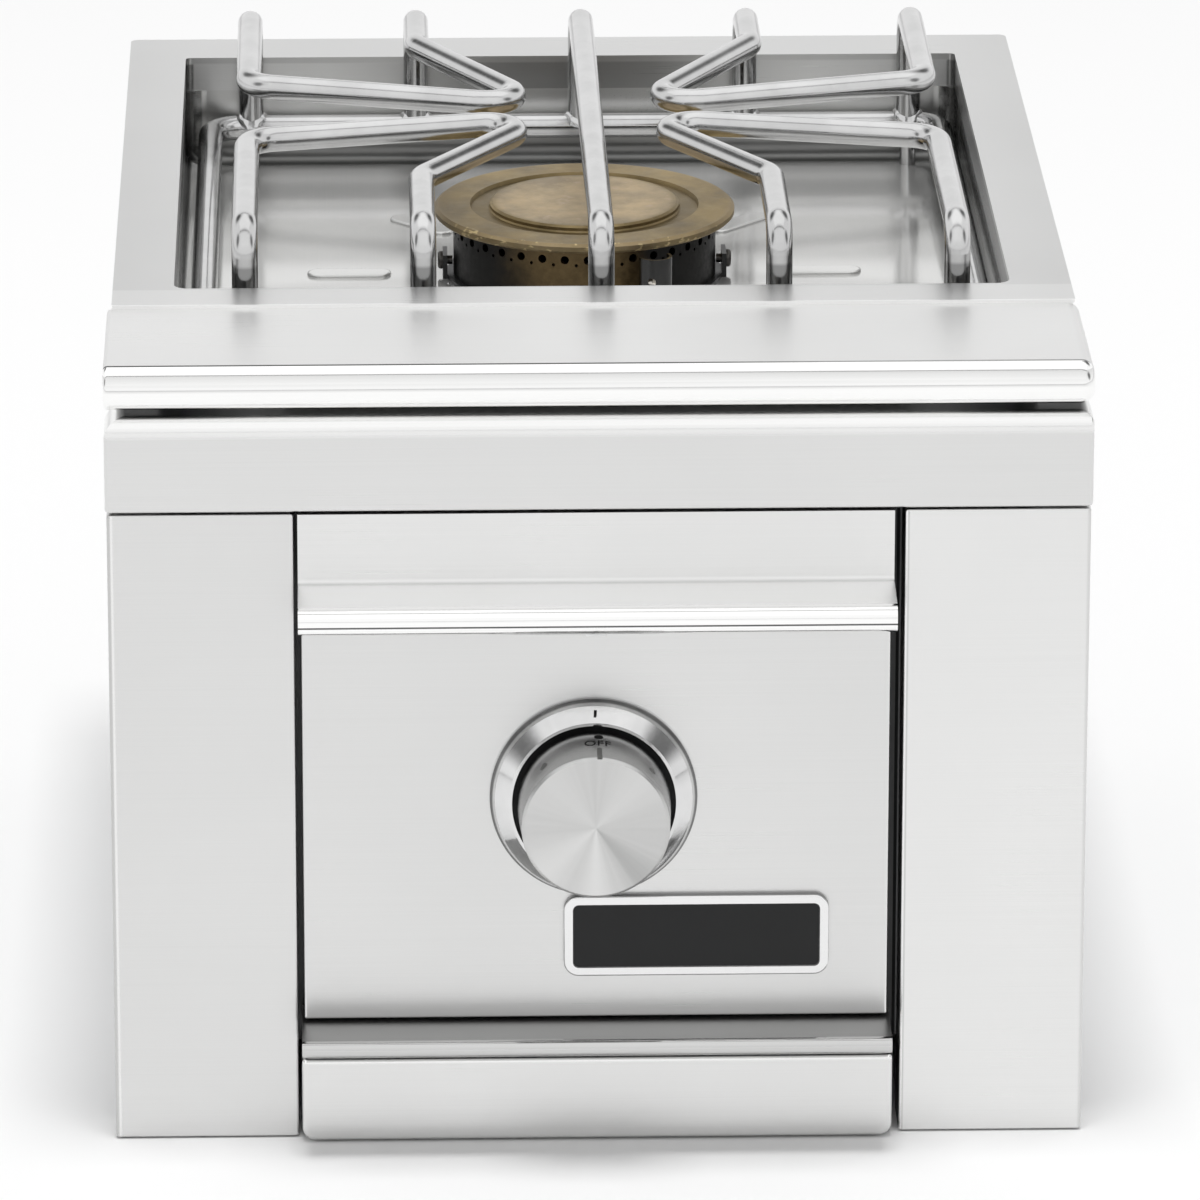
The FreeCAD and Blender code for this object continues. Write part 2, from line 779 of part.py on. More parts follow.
def burner_body():
    """Bowl that carries the ported ring, with a funnel down to the mixing tube."""
    floor_edge = drum_radius - 3 * drum_wall
    neck_inner = neck_radius - drum_wall
    funnel_end = drum_base - funnel_drop
    points = [(drum_radius, head_base), (drum_radius, drum_base), (floor_edge, drum_base),
              (neck_radius, funnel_end), (neck_radius, neck_end), (neck_inner, neck_end),
              (neck_inner, funnel_end + 1), (floor_edge - drum_wall, head_base)]
    return turned(points, vec(burner_x, burner_y, 0), Z_AXIS)


def burner_head():
    """Ring with a row of main ports and a row of pilot ports, seated on the bowl."""
    inner = drum_radius - drum_wall
    points = [(drum_radius, drum_top), (drum_radius, head_base), (inner, head_base), (inner, drum_top)]
    ring = turned(points, vec(burner_x, burner_y, 0), Z_AXIS)
    cutters = []
    step = 360 / port_count
    for index in range(port_count):
        cutters.append(port(index * step, drum_top - port_drop, port_radius))
        cutters.append(port((index + 0.5) * step, drum_top - pilot_port_drop, pilot_port_radius))
    return ring.cut(Part.makeCompound(cutters))


def port(angle, level, radius):
    way = vec(math.cos(math.radians(angle)), math.sin(math.radians(angle)), 0)
    start = vec(burner_x, burner_y, level) + way * (drum_radius - 2 * drum_wall)
    return Part.makeCylinder(radius, 3 * drum_wall, start, way)


def burner_cap():
    """Cap with a ring groove round a raised middle, and a spigot inside the drum."""
    spigot = drum_radius - drum_wall - cap_clearance
    top = drum_top + cap_rim
    groove = top - cap_groove_depth
    crown = top + cap_crown
    points = [(0, drum_top), (spigot - 3, drum_top), (spigot - 3, drum_top - cap_spigot),
              (spigot, drum_top - cap_spigot), (spigot, drum_top), (cap_radius - 0.8, drum_top),
              (cap_radius, drum_top + 0.8), (cap_radius, top - 1.0), (cap_radius - 1.2, top),
              (cap_groove_outer + 0.6, top), (cap_groove_outer, groove),
              (cap_groove_inner + 0.4, groove), (cap_groove_inner, groove + 0.6),
              (cap_groove_inner, crown - 0.7), (cap_groove_inner - 1.0, crown), (0, crown)]
    return turned(points, vec(burner_x, burner_y, 0), Z_AXIS)


# Gas way


def tube_points():
    return [vec(burner_x, burner_y, neck_end + 14), vec(burner_x, burner_y, knob_z),
            vec(knob_x, tube_front, knob_z)]


def mixing_tube():
    """Bent tube from the shutter up to the neck of the burner."""
    outer = bent_rod(tube_points(), [tube_bend], tube_radius)
    inner = bent_rod(tube_points(), [tube_bend], tube_radius - tube_wall)
    return outer.cut(inner)


def tube_direction():
    points = tube_points()
    return (points[1] - points[2]).normalize()


def air_shutter():
    """Sleeve with side windows over the mouth of the mixing tube."""
    mouth = vec(knob_x, tube_front, knob_z)
    way = tube_direction()
    outside = tube_radius + shutter_gap + sheet
    start = mouth - way * shutter_reach
    sleeve = Part.makeCylinder(outside, shutter_length, start, way)
    room = Part.makeCylinder(tube_radius + shutter_gap, shutter_length, start + way * sheet, way)
    hole = Part.makeCylinder(orifice_radius + orifice_play, 3 * sheet, start - way * sheet, way)
    window = block(knob_x - 2 * outside, knob_x + 2 * outside, tube_front - shutter_reach + 2 * sheet,
                   tube_front - sheet, knob_z - 6, knob_z + 6)
    return sleeve.cut(room).cut(hole).cut(window)


def orifice():
    """Brass jet screwed on the outlet of the valve."""
    start = valve_back + outlet_length
    tip = start + orifice_length
    nut_end = start + 12
    nut = hexagon(orifice_hex, nut_end - start, vec(knob_x, start, knob_z), Y_AXIS)
    nose = Part.makeCylinder(orifice_radius, tip - nut_end, vec(knob_x, nut_end, knob_z), Y_AXIS)
    bore = Part.makeCylinder(jet_radius, orifice_length + 2, vec(knob_x, start - 1, knob_z), Y_AXIS)
    return nut.fuse(nose).cut(bore).removeSplitter()


def valve_body():
    """Brass valve with its flange on the inner wall, a nose for the stem and an inlet below."""
    front = vec(knob_x, valve_face, knob_z)
    flange = front_plate(knob_x - valve_flange / 2, knob_x + valve_flange / 2,
                         knob_z - valve_radius, knob_z + valve_radius, valve_face,
                         valve_face + valve_flange_thick, 3, 3)
    barrel = Part.makeCylinder(valve_radius, valve_length, front, Y_AXIS)
    outlet = Part.makeCylinder(outlet_radius, outlet_length, vec(knob_x, valve_back, knob_z), Y_AXIS)
    boss_top = manifold_z + manifold_radius + boss_rise
    inlet = Part.makeCylinder(outlet_radius, knob_z - boss_top, vec(knob_x, manifold_y, boss_top), Z_AXIS)
    bore_depth = bonnet_depth + cavity_depth + stem_tail + knob_travel + stem_end_room
    bore = Part.makeCylinder(stem_radius + stem_clearance, bore_depth, front, Y_AXIS)
    cavity = Part.makeCylinder(cavity_radius, cavity_depth, front + Y_AXIS * bonnet_depth, Y_AXIS)
    gas_bore = Part.makeCylinder(1.5, valve_length, vec(knob_x, valve_back - 5, knob_z), Y_AXIS)
    holes = [screw_hole(place, Y_AXIS) for place in valve_screw_places()]
    body = flange.multiFuse([barrel, outlet, inlet]).cut(bore).cut(cavity).cut(gas_bore)
    return body.cut(Part.makeCompound(holes)).removeSplitter()


def valve_stem():
    """Stem with a flat for the knob and a shoulder behind its collar."""
    start = knob_face + knob_wall + 6
    end = valve_face + bonnet_depth + cavity_depth + stem_tail
    stem = Part.makeCylinder(stem_radius, end - start, vec(knob_x, start, knob_z), Y_AXIS)
    shoulder_y = valve_face + bonnet_depth + collar_thick + stem_clearance
    shoulder = Part.makeCylinder(stem_radius + 2, 2, vec(knob_x, shoulder_y, knob_z), Y_AXIS)
    flat = block(knob_x - 5, knob_x + 5, start - 1, start + 14, knob_z + stem_radius - 1, knob_z + 6)
    return stem.fuse(shoulder).cut(flat).removeSplitter()


def stem_collar():
    """Thrust washer that moves in with the stem and doesn't turn."""
    place = vec(knob_x, valve_face + bonnet_depth, knob_z)
    ring = Part.makeCylinder(collar_radius, collar_thick, place, Y_AXIS)
    return ring.cut(Part.makeCylinder(stem_radius + stem_clearance, 4 * collar_thick, place - Y_AXIS, Y_AXIS))


def manifold():
    """Gas pipe under the valve, closed at its left end and turned down to the inlet."""
    points = [vec(manifold_left, manifold_y, manifold_z), vec(inlet_x, manifold_y, manifold_z),
              vec(inlet_x, manifold_y, floor_pan_level + 2 * inlet_hex_length)]
    pipe = bent_rod(points, [manifold_bend], manifold_radius)
    boss_top = manifold_z + manifold_radius + boss_rise
    boss = Part.makeCylinder(boss_radius, boss_top - manifold_z, vec(knob_x, manifold_y, manifold_z), Z_AXIS)
    end = points[2]
    bore = Part.makeCylinder(manifold_bore, 12, end - Z_AXIS, Z_AXIS)
    return pipe.fuse(boss).cut(bore).removeSplitter()


def manifold_bracket():
    """Folded strap that ties the pipe to the inner wall."""
    x0 = manifold_left + 8
    x1 = x0 + 16
    plate = block(x0 + 6, x0 + 6 + sheet, valve_face, manifold_y + manifold_radius + 5,
                  manifold_z - manifold_radius - 5, manifold_z + manifold_radius + 5)
    foot = block(x0, x1, valve_face, valve_face + sheet, manifold_z - manifold_radius - 5,
                 manifold_z + manifold_radius + 5)
    hole = Part.makeCylinder(manifold_radius + 0.1, 30, vec(x0 - 5, manifold_y, manifold_z), X_AXIS)
    return plate.fuse(foot).cut(hole).removeSplitter()


def inlet_fitting():
    """Hexagon and male end for the gas line, under the floor of the housing."""
    top = floor_pan_level + 2 * inlet_hex_length
    nut = hexagon(inlet_hex, inlet_hex_length, vec(inlet_x, manifold_y, top - inlet_hex_length), Z_AXIS)
    low = top - inlet_hex_length - inlet_length - 6
    shank = Part.makeCylinder(inlet_radius, inlet_length + 6, vec(inlet_x, manifold_y, low), Z_AXIS)
    bore = Part.makeCylinder(inlet_radius - 3.5, 60, vec(inlet_x, manifold_y, low - 1), Z_AXIS)
    return nut.fuse(shank).cut(bore).removeSplitter()


# Knob


def knob():
    """Tapered knob with a flat face, hollow behind, and a hub on the stem."""
    points = [(0, 0), (hub_radius, 0), (hub_radius, knob_length - knob_wall),
              (knob_face_radius - knob_wall, knob_length - knob_wall),
              (knob_base_radius - knob_wall, 0), (knob_base_radius, 0),
              (knob_face_radius + 0.1, knob_length - knob_edge),
              (knob_face_radius - knob_edge, knob_length), (0, knob_length)]
    body = turned(points, vec(knob_x, knob_rear, knob_z), vec(0, -1, 0))
    start = knob_face + knob_wall + 6
    bore = Part.makeCylinder(stem_radius, knob_rear - start + 1, vec(knob_x, start, knob_z), Y_AXIS)
    flat = block(knob_x - 5, knob_x + 5, start - 1, start + 14, knob_z + stem_radius - 1, knob_z + 6)
    return body.cut(bore.cut(flat))


def bezel():
    """Ring on the control panel round the knob: a narrow rim, a sloping face and a lip."""
    points = [(bezel_bore, 0), (bezel_radius, 0), (bezel_radius, bezel_side),
              (bezel_rim_radius, bezel_rim_height), (bezel_mouth, bezel_height),
              (bezel_bore, bezel_height)]
    return turned(points, vec(knob_x, middle_setback, knob_z), vec(0, -1, 0))


def bezel_insert():
    """Dark backing ring inside the bezel, round the stem."""
    place = vec(knob_x, middle_setback - insert_thick, knob_z)
    ring = Part.makeCylinder(bezel_bore, insert_thick, place, Y_AXIS)
    return ring.cut(Part.makeCylinder(hub_radius, 3 * insert_thick, place - Y_AXIS, Y_AXIS))


# Igniter


def igniter_place():
    angle = math.radians(igniter_angle)
    return vec(burner_x + igniter_offset * math.cos(angle),
               burner_y + igniter_offset * math.sin(angle), tray_floor)


def igniter_collector():
    """Half-round shield with two holes, open towards the burner, on a small foot."""
    place = igniter_place()
    inner_radius = collector_radius - collector_sheet
    shell = Part.makeCylinder(collector_radius, collector_height, place, Z_AXIS, 200)
    shell.rotate(place, Z_AXIS, igniter_angle - 100)
    shell = shell.cut(Part.makeCylinder(inner_radius, collector_height + 2, place - Z_AXIS))
    outward = vec(math.cos(math.radians(igniter_angle)), math.sin(math.radians(igniter_angle)), 0)
    foot = block(0, 9, -4, 4, 0, collector_sheet)
    foot.rotate(vec(0, 0, 0), Z_AXIS, igniter_angle)
    foot.translate(place + outward * (inner_radius + 0.3))
    holes = []
    for turn, level in ((-38, 0.62), (-8, 0.34)):
        angle = math.radians(igniter_angle + turn)
        way = vec(math.cos(angle), math.sin(angle), 0)
        holes.append(Part.makeCylinder(1.5, 10, place + vec(0, 0, collector_height * level), way))
    return shell.fuse(foot).cut(Part.makeCompound(holes)).removeSplitter()


def igniter_electrode():
    """Ceramic stem through the tray floor with a bent spark wire."""
    place = igniter_place()
    ceramic = Part.makeCylinder(ceramic_radius, ceramic_height + 14, place - vec(0, 0, 14))
    collar = Part.makeCylinder(ceramic_radius + 1.2, 2.5, place)
    inward = (vec(burner_x, burner_y, tray_floor) - place).normalize()
    base = place + vec(0, 0, ceramic_height - 1)
    bend = place + vec(0, 0, collector_height - 5)
    tip = bend + inward * (igniter_offset - drum_radius - 3)
    wire = bent_rod([base, bend, tip], [2.0], electrode_radius)
    return ceramic.multiFuse([collar, wire]).removeSplitter()


def spark_module():
    """Sealed box on the left wall of the housing."""
    x0 = -side_wall_face
    y0 = valve_face + module_length
    body = block(x0, x0 + module_width, y0, y0 + module_length, knob_z, knob_z + module_height)
    edges = [e for e in body.Edges if e.BoundBox.XLength > 1]
    body = body.makeFillet(3, edges)
    studs = []
    for index in range(2):
        place = vec(x0 + module_width, y0 + module_length * (index + 1) / 3, knob_z + module_height / 2)
        studs.append(Part.makeCylinder(3, 7, place, X_AXIS))
    return body.multiFuse(studs).removeSplitter()


def lamp_lens():
    """Small lens under the lip of the visor, over the knob."""
    x0 = lens_x - lens_width / 2
    y0 = visor_front + visor_nose
    body = block(x0, x0 + lens_width, y0, y0 + lens_depth, visor_bottom - lens_height, visor_bottom)
    edges = [e for e in body.Edges if e.BoundBox.ZMax < visor_bottom - lens_height + 0.01]
    return body.makeFillet(lens_height * 0.4, edges)


# Grate


def front_finger(side, loop):
    """Front rod: up, back, in towards the middle, forward and down to the loop again."""
    return finger(side, loop_front, 1, front_outer_run, front_inner_run, front_tip_run).cut(loop)


def rear_finger(side, loop):
    """Rear rod: up, forward, in towards the middle, back and down to the loop again."""
    return finger(side, loop_back, -1, rear_outer_run, rear_inner_run, rear_tip_run).cut(loop)


def finger(side, start_y, way, outer_run, inner_run, tip_run):
    """A rod that stands on the loop with two legs and points at the burner with its tip."""
    outer_x = grate_x + side * 2 * leg_pitch
    inner_x = grate_x + side * leg_pitch
    tip_x = grate_x + side * tip_offset
    leg_end = loop_level + rod_radius - leg_sink
    points = [vec(outer_x, start_y, leg_end), vec(outer_x, start_y, rod_level),
              vec(outer_x, start_y + way * outer_run, rod_level),
              vec(tip_x, start_y + way * tip_run, rod_level),
              vec(inner_x, start_y + way * inner_run, rod_level),
              vec(inner_x, start_y, rod_level), vec(inner_x, start_y, leg_end)]
    radii = [leg_bend, finger_bend, tip_bend, finger_bend, leg_bend]
    return bent_rod(points, radii, rod_radius)


def centre_rod(loop):
    """Straight rod over the burner with a leg at each end; its stretches meet face to face."""
    leg_end = loop_level + rod_radius - leg_sink
    points = [vec(grate_x, loop_front, leg_end), vec(grate_x, loop_front, rod_level),
              vec(grate_x, loop_back, rod_level), vec(grate_x, loop_back, leg_end)]
    stretches = rod_stretches(points, [leg_bend, leg_bend], rod_radius)
    return [stretch.cut(loop).Solids[0] for stretch in stretches]


def grate_loop():
    """Closed base of rod with four feet that stand on the tray floor."""
    centre = grate_x + loop_shift
    left = centre - loop_width / 2
    right = centre + loop_width / 2
    middle = vec(centre, loop_front, loop_level)
    points = [middle, vec(right, loop_front, loop_level), vec(right, loop_back, loop_level),
              vec(left, loop_back, loop_level), vec(left, loop_front, loop_level), middle]
    loop = bent_rod(points, [loop_bend] * 4, rod_radius)
    feet = []
    for side in (-2, 2):
        for y in (loop_front, loop_back):
            x = grate_x + side * leg_pitch
            feet.append(Part.makeCylinder(foot_radius, loop_level - tray_floor, vec(x, y, tray_floor)))
    return loop.multiFuse(feet)


# Fasteners


def screw_hole(place, axis):
    return Part.makeCylinder(screw_shank + screw_clearance, 16, place - axis * 8, axis)


def screw(place, axis, length):
    """Pan-head screw: its head seats at the place, its shank runs along the axis."""
    head = Part.makeCylinder(screw_head, screw_head_height, place - axis * screw_head_height, axis)
    rim = [e for e in head.Edges if abs((e.CenterOfMass - place).dot(axis) + screw_head_height) < 0.01]
    head = head.makeFillet(screw_head_height * 0.6, rim)
    shank = Part.makeCylinder(screw_shank, length, place, axis)
    return head.fuse(shank).removeSplitter()


def wall_screw_places(side):
    level = floor_pan_level + sheet + pan_flange / 2
    depth = back_wall_face - valve_face
    return [vec(side * (side_wall_face + sheet), valve_face + depth * share, level)
            for share in (0.15, 0.5, 0.85)]


def housing_screws():
    screws = []
    for side in (-1, 1):
        for place in wall_screw_places(side):
            screws.append(screw(place, vec(-side, 0, 0), 6))
    return screws


def valve_screw_places():
    return [vec(knob_x + side * (valve_flange / 2 - 4.5), inner_wall_face, knob_z) for side in (-1, 1)]


def valve_screws():
    return [screw(place, Y_AXIS, sheet + valve_flange_thick) for place in valve_screw_places()]


def holder_screw_places():
    level = tray_floor + ear_height * 0.62
    return [vec(burner_x + side * ear_reach, burner_y, level) for side in (-1, 1)]


def holder_screws():
    screws = []
    for place in holder_screw_places():
        side = 1 if place.x > burner_x else -1
        screws.append(screw(place, vec(-side, 0, 0), ear_reach - drum_radius - 0.3))
    return screws


def main():
    os.makedirs("parts", exist_ok=True)
    write("deck_frame", deck_frame())
    write("front_rail", front_rail())
    write("fascia", fascia())
    write("side_panel_left", side_panel(-1))
    write("side_panel_right", side_panel(1))
    write("visor", visor())
    write("control_panel", control_panel())
    write("drip_tray_handle", drip_tray_handle())
    write("drip_tray_cover", drip_tray_cover())
    write("drip_tray_box", drip_tray_box())
    write("drip_tray_runner_left", drip_tray_runner(-1))
    write("drip_tray_runner_right", drip_tray_runner(1))
    write("housing_wall_left", side_wall(-1))
    write("housing_wall_right", side_wall(1))
    write("housing_wall_back", back_wall())
    write("inner_front_wall", inner_wall())
    write("floor_pan", floor_pan())
    write("burner_tray", burner_tray())
    write("holder_ring", holder_ring())
    write("burner_body", burner_body())
    write("burner_head", burner_head())
    write("burner_cap", burner_cap())
    write("mixing_tube", mixing_tube())
    write("air_shutter", air_shutter())
    write("orifice", orifice())
    write("valve_body", valve_body())
    write("valve_stem", valve_stem())
    write("stem_collar", stem_collar())
    write("manifold", manifold())
    write("manifold_bracket", manifold_bracket())
    write("inlet_fitting", inlet_fitting())
    write("knob", knob())
    write("bezel", bezel())
    write("bezel_insert", bezel_insert())
    write("igniter_collector", igniter_collector())
    write("igniter_electrode", igniter_electrode())
    write("spark_module", spark_module())
    write("lamp_lens", lamp_lens())
    loop = grate_loop()
    write("grate_loop", loop)
    write("grate_finger_front_left", front_finger(-1, loop))
    write("grate_finger_front_right", front_finger(1, loop))
    write("grate_finger_rear_left", rear_finger(-1, loop))
    write("grate_finger_rear_right", rear_finger(1, loop))
    write("grate_centre_rod", centre_rod(loop))
    write("housing_screws", housing_screws())
    write("valve_screws", valve_screws())
    write("holder_screws", holder_screws())


main()
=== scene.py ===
import math

import bmesh
import bpy
from mathutils import Matrix, Vector


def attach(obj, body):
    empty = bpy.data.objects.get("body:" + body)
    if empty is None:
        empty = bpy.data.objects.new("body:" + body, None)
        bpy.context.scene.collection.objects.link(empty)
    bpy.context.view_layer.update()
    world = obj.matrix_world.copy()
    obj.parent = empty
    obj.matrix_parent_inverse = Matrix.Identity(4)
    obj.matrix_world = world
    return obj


bl_info = {
    "name": "Built-in side burner",
    "version": (1, 0, 0),
    "blender": (4, 5, 0),
    "location": "View3D > Sidebar > Side burner",
    "description": "Dresses the packed side burner in steel, bronze and black enamel",
    "category": "Object",
}

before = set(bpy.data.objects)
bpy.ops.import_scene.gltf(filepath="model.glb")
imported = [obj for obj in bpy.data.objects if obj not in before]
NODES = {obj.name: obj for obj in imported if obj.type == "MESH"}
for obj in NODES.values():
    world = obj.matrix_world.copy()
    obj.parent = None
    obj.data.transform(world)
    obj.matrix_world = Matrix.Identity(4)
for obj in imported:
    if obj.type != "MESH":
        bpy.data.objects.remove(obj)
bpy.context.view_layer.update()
MM = 0.001

# Places in the frame, in metres
FASCIA_FACE = -0.19335
KNOB_X = -0.002
KNOB_Z = 0.1224
CAP_CENTRE = (0.0012, 0.04815, 0.0)
ROD_RADIUS = 0.0045
OBJECT_MIDDLE = Vector((0.0, 0.0, 0.15))
CARD_DISTANCE = 3.0

# A zone with less roughness than this is polished and loses its grain
POLISHED = 0.15


# Sizes and colours that can be changed


def colour(name, description, red, green, blue):
    return bpy.props.FloatVectorProperty(
        name=name, description=description, default=(red, green, blue, 1.0),
        size=4, min=0.0, max=1.0, subtype="COLOR")


def length(name, description, millimetres):
    return bpy.props.FloatProperty(
        name=name, description=description, default=millimetres * MM, unit="LENGTH")


def angle(name, description, degrees):
    return bpy.props.FloatProperty(
        name=name, description=description, default=math.radians(degrees), unit="ROTATION")


def factor(name, description, value):
    return bpy.props.FloatProperty(
        name=name, description=description, default=value, min=0.0, max=1.0, subtype="FACTOR")


class BurnerFinishes(bpy.types.PropertyGroup):
    brushed: colour("Brushed sheet", "Light brushed stainless of the front and deck", 0.70, 0.70, 0.695)
    polished: colour("Polished edge", "Polished noses, rods and bezel", 0.80, 0.80, 0.80)
    housing: colour("Housing sheet", "Plain rolled sheet behind the front", 0.50, 0.505, 0.51)
    tray: colour("Pressed tray", "Satin tray under the grate", 0.40, 0.40, 0.393)
    bronze: colour("Cap bronze", "Body colour of the burner cap", 0.315, 0.240, 0.122)
    bronze_worn: colour("Worn bronze", "Rubbed rim of the burner cap", 0.40, 0.315, 0.20)
    drum: colour("Burner drum", "Heat-darkened brass of the ported drum", 0.165, 0.118, 0.060)
    enamel: colour("Black enamel", "Ring that holds the burner", 0.012, 0.012, 0.012)
    brass: colour("Valve brass", "Turned brass of the valve and jet", 0.62, 0.44, 0.20)
    pipe: colour("Plated pipe", "Zinc-plated gas pipes", 0.42, 0.43, 0.44)
    black: colour("Black plastic", "Insert behind the knob", 0.008, 0.008, 0.009)
    ceramic: colour("Ceramic", "Glazed sleeve of the electrode", 0.83, 0.80, 0.74)
    lens: colour("Lamp lens", "Frosted lens under the visor", 0.86, 0.88, 0.88)
    ink: colour("Engraving", "Filled marks on the knob and bezel", 0.012, 0.012, 0.012)
    sheet_roughness: factor("Sheet roughness", "Roughness of the brushed sheets", 0.30)
    rod_roughness: factor("Rod roughness", "Roughness of the polished rods", 0.16)


class BurnerDetails(bpy.types.PropertyGroup):
    plate_left: length("Plate left", "Left end of the blank plate", -12.0)
    plate_right: length("Plate right", "Right end of the blank plate", 77.7)
    plate_bottom: length("Plate bottom", "Lower edge of the blank plate", 58.4)
    plate_top: length("Plate top", "Upper edge of the blank plate", 87.1)
    plate_corner: length("Plate corner", "Corner radius of the blank plate", 5.0)
    plate_thick: length("Plate thickness", "How far the plate stands off the panel", 2.6)
    plate_rim: length("Plate rim", "Width of the bright rim round the dark field", 3.0)
    mark_turn: angle("Mark turn", "How far the marks are turned from upright", 3.0)
    flame_turn: angle("Flame turn", "Angle from OFF to each flame mark", 46.0)
    letter_width: length("Word width", "Width of the word on the knob", 8.9)
    letter_height: length("Word height", "Height of the word on the knob", 4.4)
    dot_size: length("Dot", "Diameter of the dot over the word", 3.1)
    groove_width: length("Groove", "Width of the pointer groove", 1.7)
    bead_size: length("Weld bead", "Thickness of the weld beads of the grate", 1.5)


class BurnerStudio(bpy.types.PropertyGroup):
    ambient: bpy.props.FloatProperty(
        name="Ambient", description="Strength of the surrounding light", default=0.58, min=0.0)
    key: bpy.props.FloatProperty(
        name="Key light", description="Power of the large lamp", default=204.0, min=0.0, unit="POWER")
    lens: bpy.props.FloatProperty(
        name="Focal length", description="Focal length on a 36 mm square frame",
        default=282.24, min=1.0, subtype="NONE")
    yaw: angle("Yaw", "Camera turned to the right", 1.6127)
    pitch: angle("Pitch", "Camera tipped down", 18.4038)
    roll: angle("Roll", "Camera rolled", 0.0583)
    place: bpy.props.FloatVectorProperty(
        name="Camera place", description="Where the camera stands",
        default=(-0.08395, -3.17949, 1.18609), size=3, subtype="TRANSLATION", unit="LENGTH")


# Materials


class Finish:
    """A procedural finish that reads the piece's own coordinates."""

    def __init__(self, name, base, roughness, metallic=1.0):
        self.material = bpy.data.materials.new(name)
        self.material.use_nodes = True
        self.tree = self.material.node_tree
        self.shader = self.tree.nodes["Principled BSDF"]
        self.shader.inputs["Base Color"].default_value = tuple(base)[:3] + (1.0,)
        self.shader.inputs["Roughness"].default_value = roughness
        self.shader.inputs["Metallic"].default_value = metallic
        self.material.diffuse_color = tuple(base)[:3] + (1.0,)

    def node(self, kind, **settings):
        made = self.tree.nodes.new(kind)
        for key, value in settings.items():
            setattr(made, key, value)
        return made

    def join(self, source, target):
        self.tree.links.new(source, target)

    def place(self, centre, scale):
        """The piece's own coordinates from a centre, scaled along each axis."""
        coordinate = self.node("ShaderNodeTexCoord")
        shift = self.node("ShaderNodeMapping", vector_type="POINT")
        shift.inputs["Location"].default_value = [-c * s for c, s in zip(centre, scale)]
        shift.inputs["Scale"].default_value = scale
        self.join(coordinate.outputs["Object"], shift.inputs["Vector"])
        return shift.outputs["Vector"]

    def noise(self, scale, detail=2.0, roughness=0.5, seed=0.0, distortion=0.0):
        """Noise with its own scale along X, Y and Z, in features per metre."""
        made = self.node("ShaderNodeTexNoise")
        made.inputs["Scale"].default_value = 1.0
        made.inputs["Detail"].default_value = detail
        made.inputs["Roughness"].default_value = roughness
        made.inputs["Distortion"].default_value = distortion
        if isinstance(scale, (int, float)):
            scale = (scale, scale, scale)
        self.join(self.place((seed, seed, seed), scale), made.inputs["Vector"])
        return made.outputs["Fac"]

    def span(self, value, low, high, out_low=0.0, out_high=1.0, smooth=False):
        """Moves a value from one range to another, and stops at the ends."""
        made = self.node("ShaderNodeMapRange")
        made.interpolation_type = "SMOOTHSTEP" if smooth else "LINEAR"
        made.inputs["From Min"].default_value = low
        made.inputs["From Max"].default_value = high
        made.inputs["To Min"].default_value = out_low
        made.inputs["To Max"].default_value = out_high
        self.join(value, made.inputs["Value"])
        return made.outputs["Result"]

    def radius(self, vector):
        """How far a point lies from the centre of its coordinates."""
        reach = self.node("ShaderNodeVectorMath", operation="LENGTH")
        self.join(vector, reach.inputs[0])
        return reach.outputs["Value"]

    def maths(self, operation, first, second=None):
        made = self.node("ShaderNodeMath", operation=operation)
        for socket, value in zip(made.inputs, (first, second)):
            if value is None:
                continue
            if isinstance(value, (int, float)):
                socket.default_value = value
            else:
                self.join(value, socket)
        return made.outputs["Value"]

    def mix(self, amount, first, second, blend="MIX"):
        """Mixes two colours."""
        made = self.node("ShaderNodeMix", data_type="RGBA", blend_type=blend)
        made.clamp_factor = True
        colours = [s for s in made.inputs if s.type == "RGBA"]
        if isinstance(amount, (int, float)):
            made.inputs["Factor"].default_value = amount
        else:
            self.join(amount, made.inputs["Factor"])
        for socket, value in zip(colours, (first, second)):
            if isinstance(value, bpy.types.NodeSocket):
                self.join(value, socket)
            else:
                socket.default_value = tuple(value)[:3] + (1.0,)
        return [s for s in made.outputs if s.type == "RGBA"][0]

    def blend(self, amount, first, second):
        """Mixes two plain values."""
        made = self.node("ShaderNodeMix", data_type="FLOAT")
        for name, value in (("Factor", amount), ("A", first), ("B", second)):
            self.join(value, made.inputs[name])
        return made.outputs["Result"]

    def ramp(self, value, stops):
        """Grey levels against a value from 0 to 1, eased between the stops."""
        made = self.node("ShaderNodeValToRGB")
        made.color_ramp.interpolation = "EASE"
        elements = made.color_ramp.elements
        while len(elements) < len(stops):
            elements.new(0.5)
        for element, (place, level) in zip(elements, stops):
            element.position = place
            element.color = (level, level, level, 1.0)
        self.join(value, made.inputs["Fac"])
        return made.outputs["Color"]

    def axis(self, letter):
        coordinate = self.node("ShaderNodeTexCoord")
        parts = self.node("ShaderNodeSeparateXYZ")
        self.join(coordinate.outputs["Object"], parts.inputs["Vector"])
        return parts.outputs[letter]

    def colour(self, value):
        self.join(value, self.shader.inputs["Base Color"])

    def roughness(self, value):
        self.join(value, self.shader.inputs["Roughness"])

    def bump(self, height, strength, distance):
        made = self.node("ShaderNodeBump")
        made.inputs["Strength"].default_value = strength
        made.inputs["Distance"].default_value = distance
        self.join(height, made.inputs["Height"])
        self.join(made.outputs["Normal"], self.shader.inputs["Normal"])


def shade(base, amount):
    return tuple(max(0.0, min(1.0, c * amount)) for c in tuple(base)[:3])


def grain_scale(along, coarse, fine):
    """Scale of a grain that runs along X, Y or Z."""
    return tuple(coarse if letter == along else fine for letter in "XYZ")


def above(letter, level, soft=0.0004):
    """A mask over what lies past a place along one axis."""
    return lambda made: made.span(made.axis(letter), level - soft, level + soft)


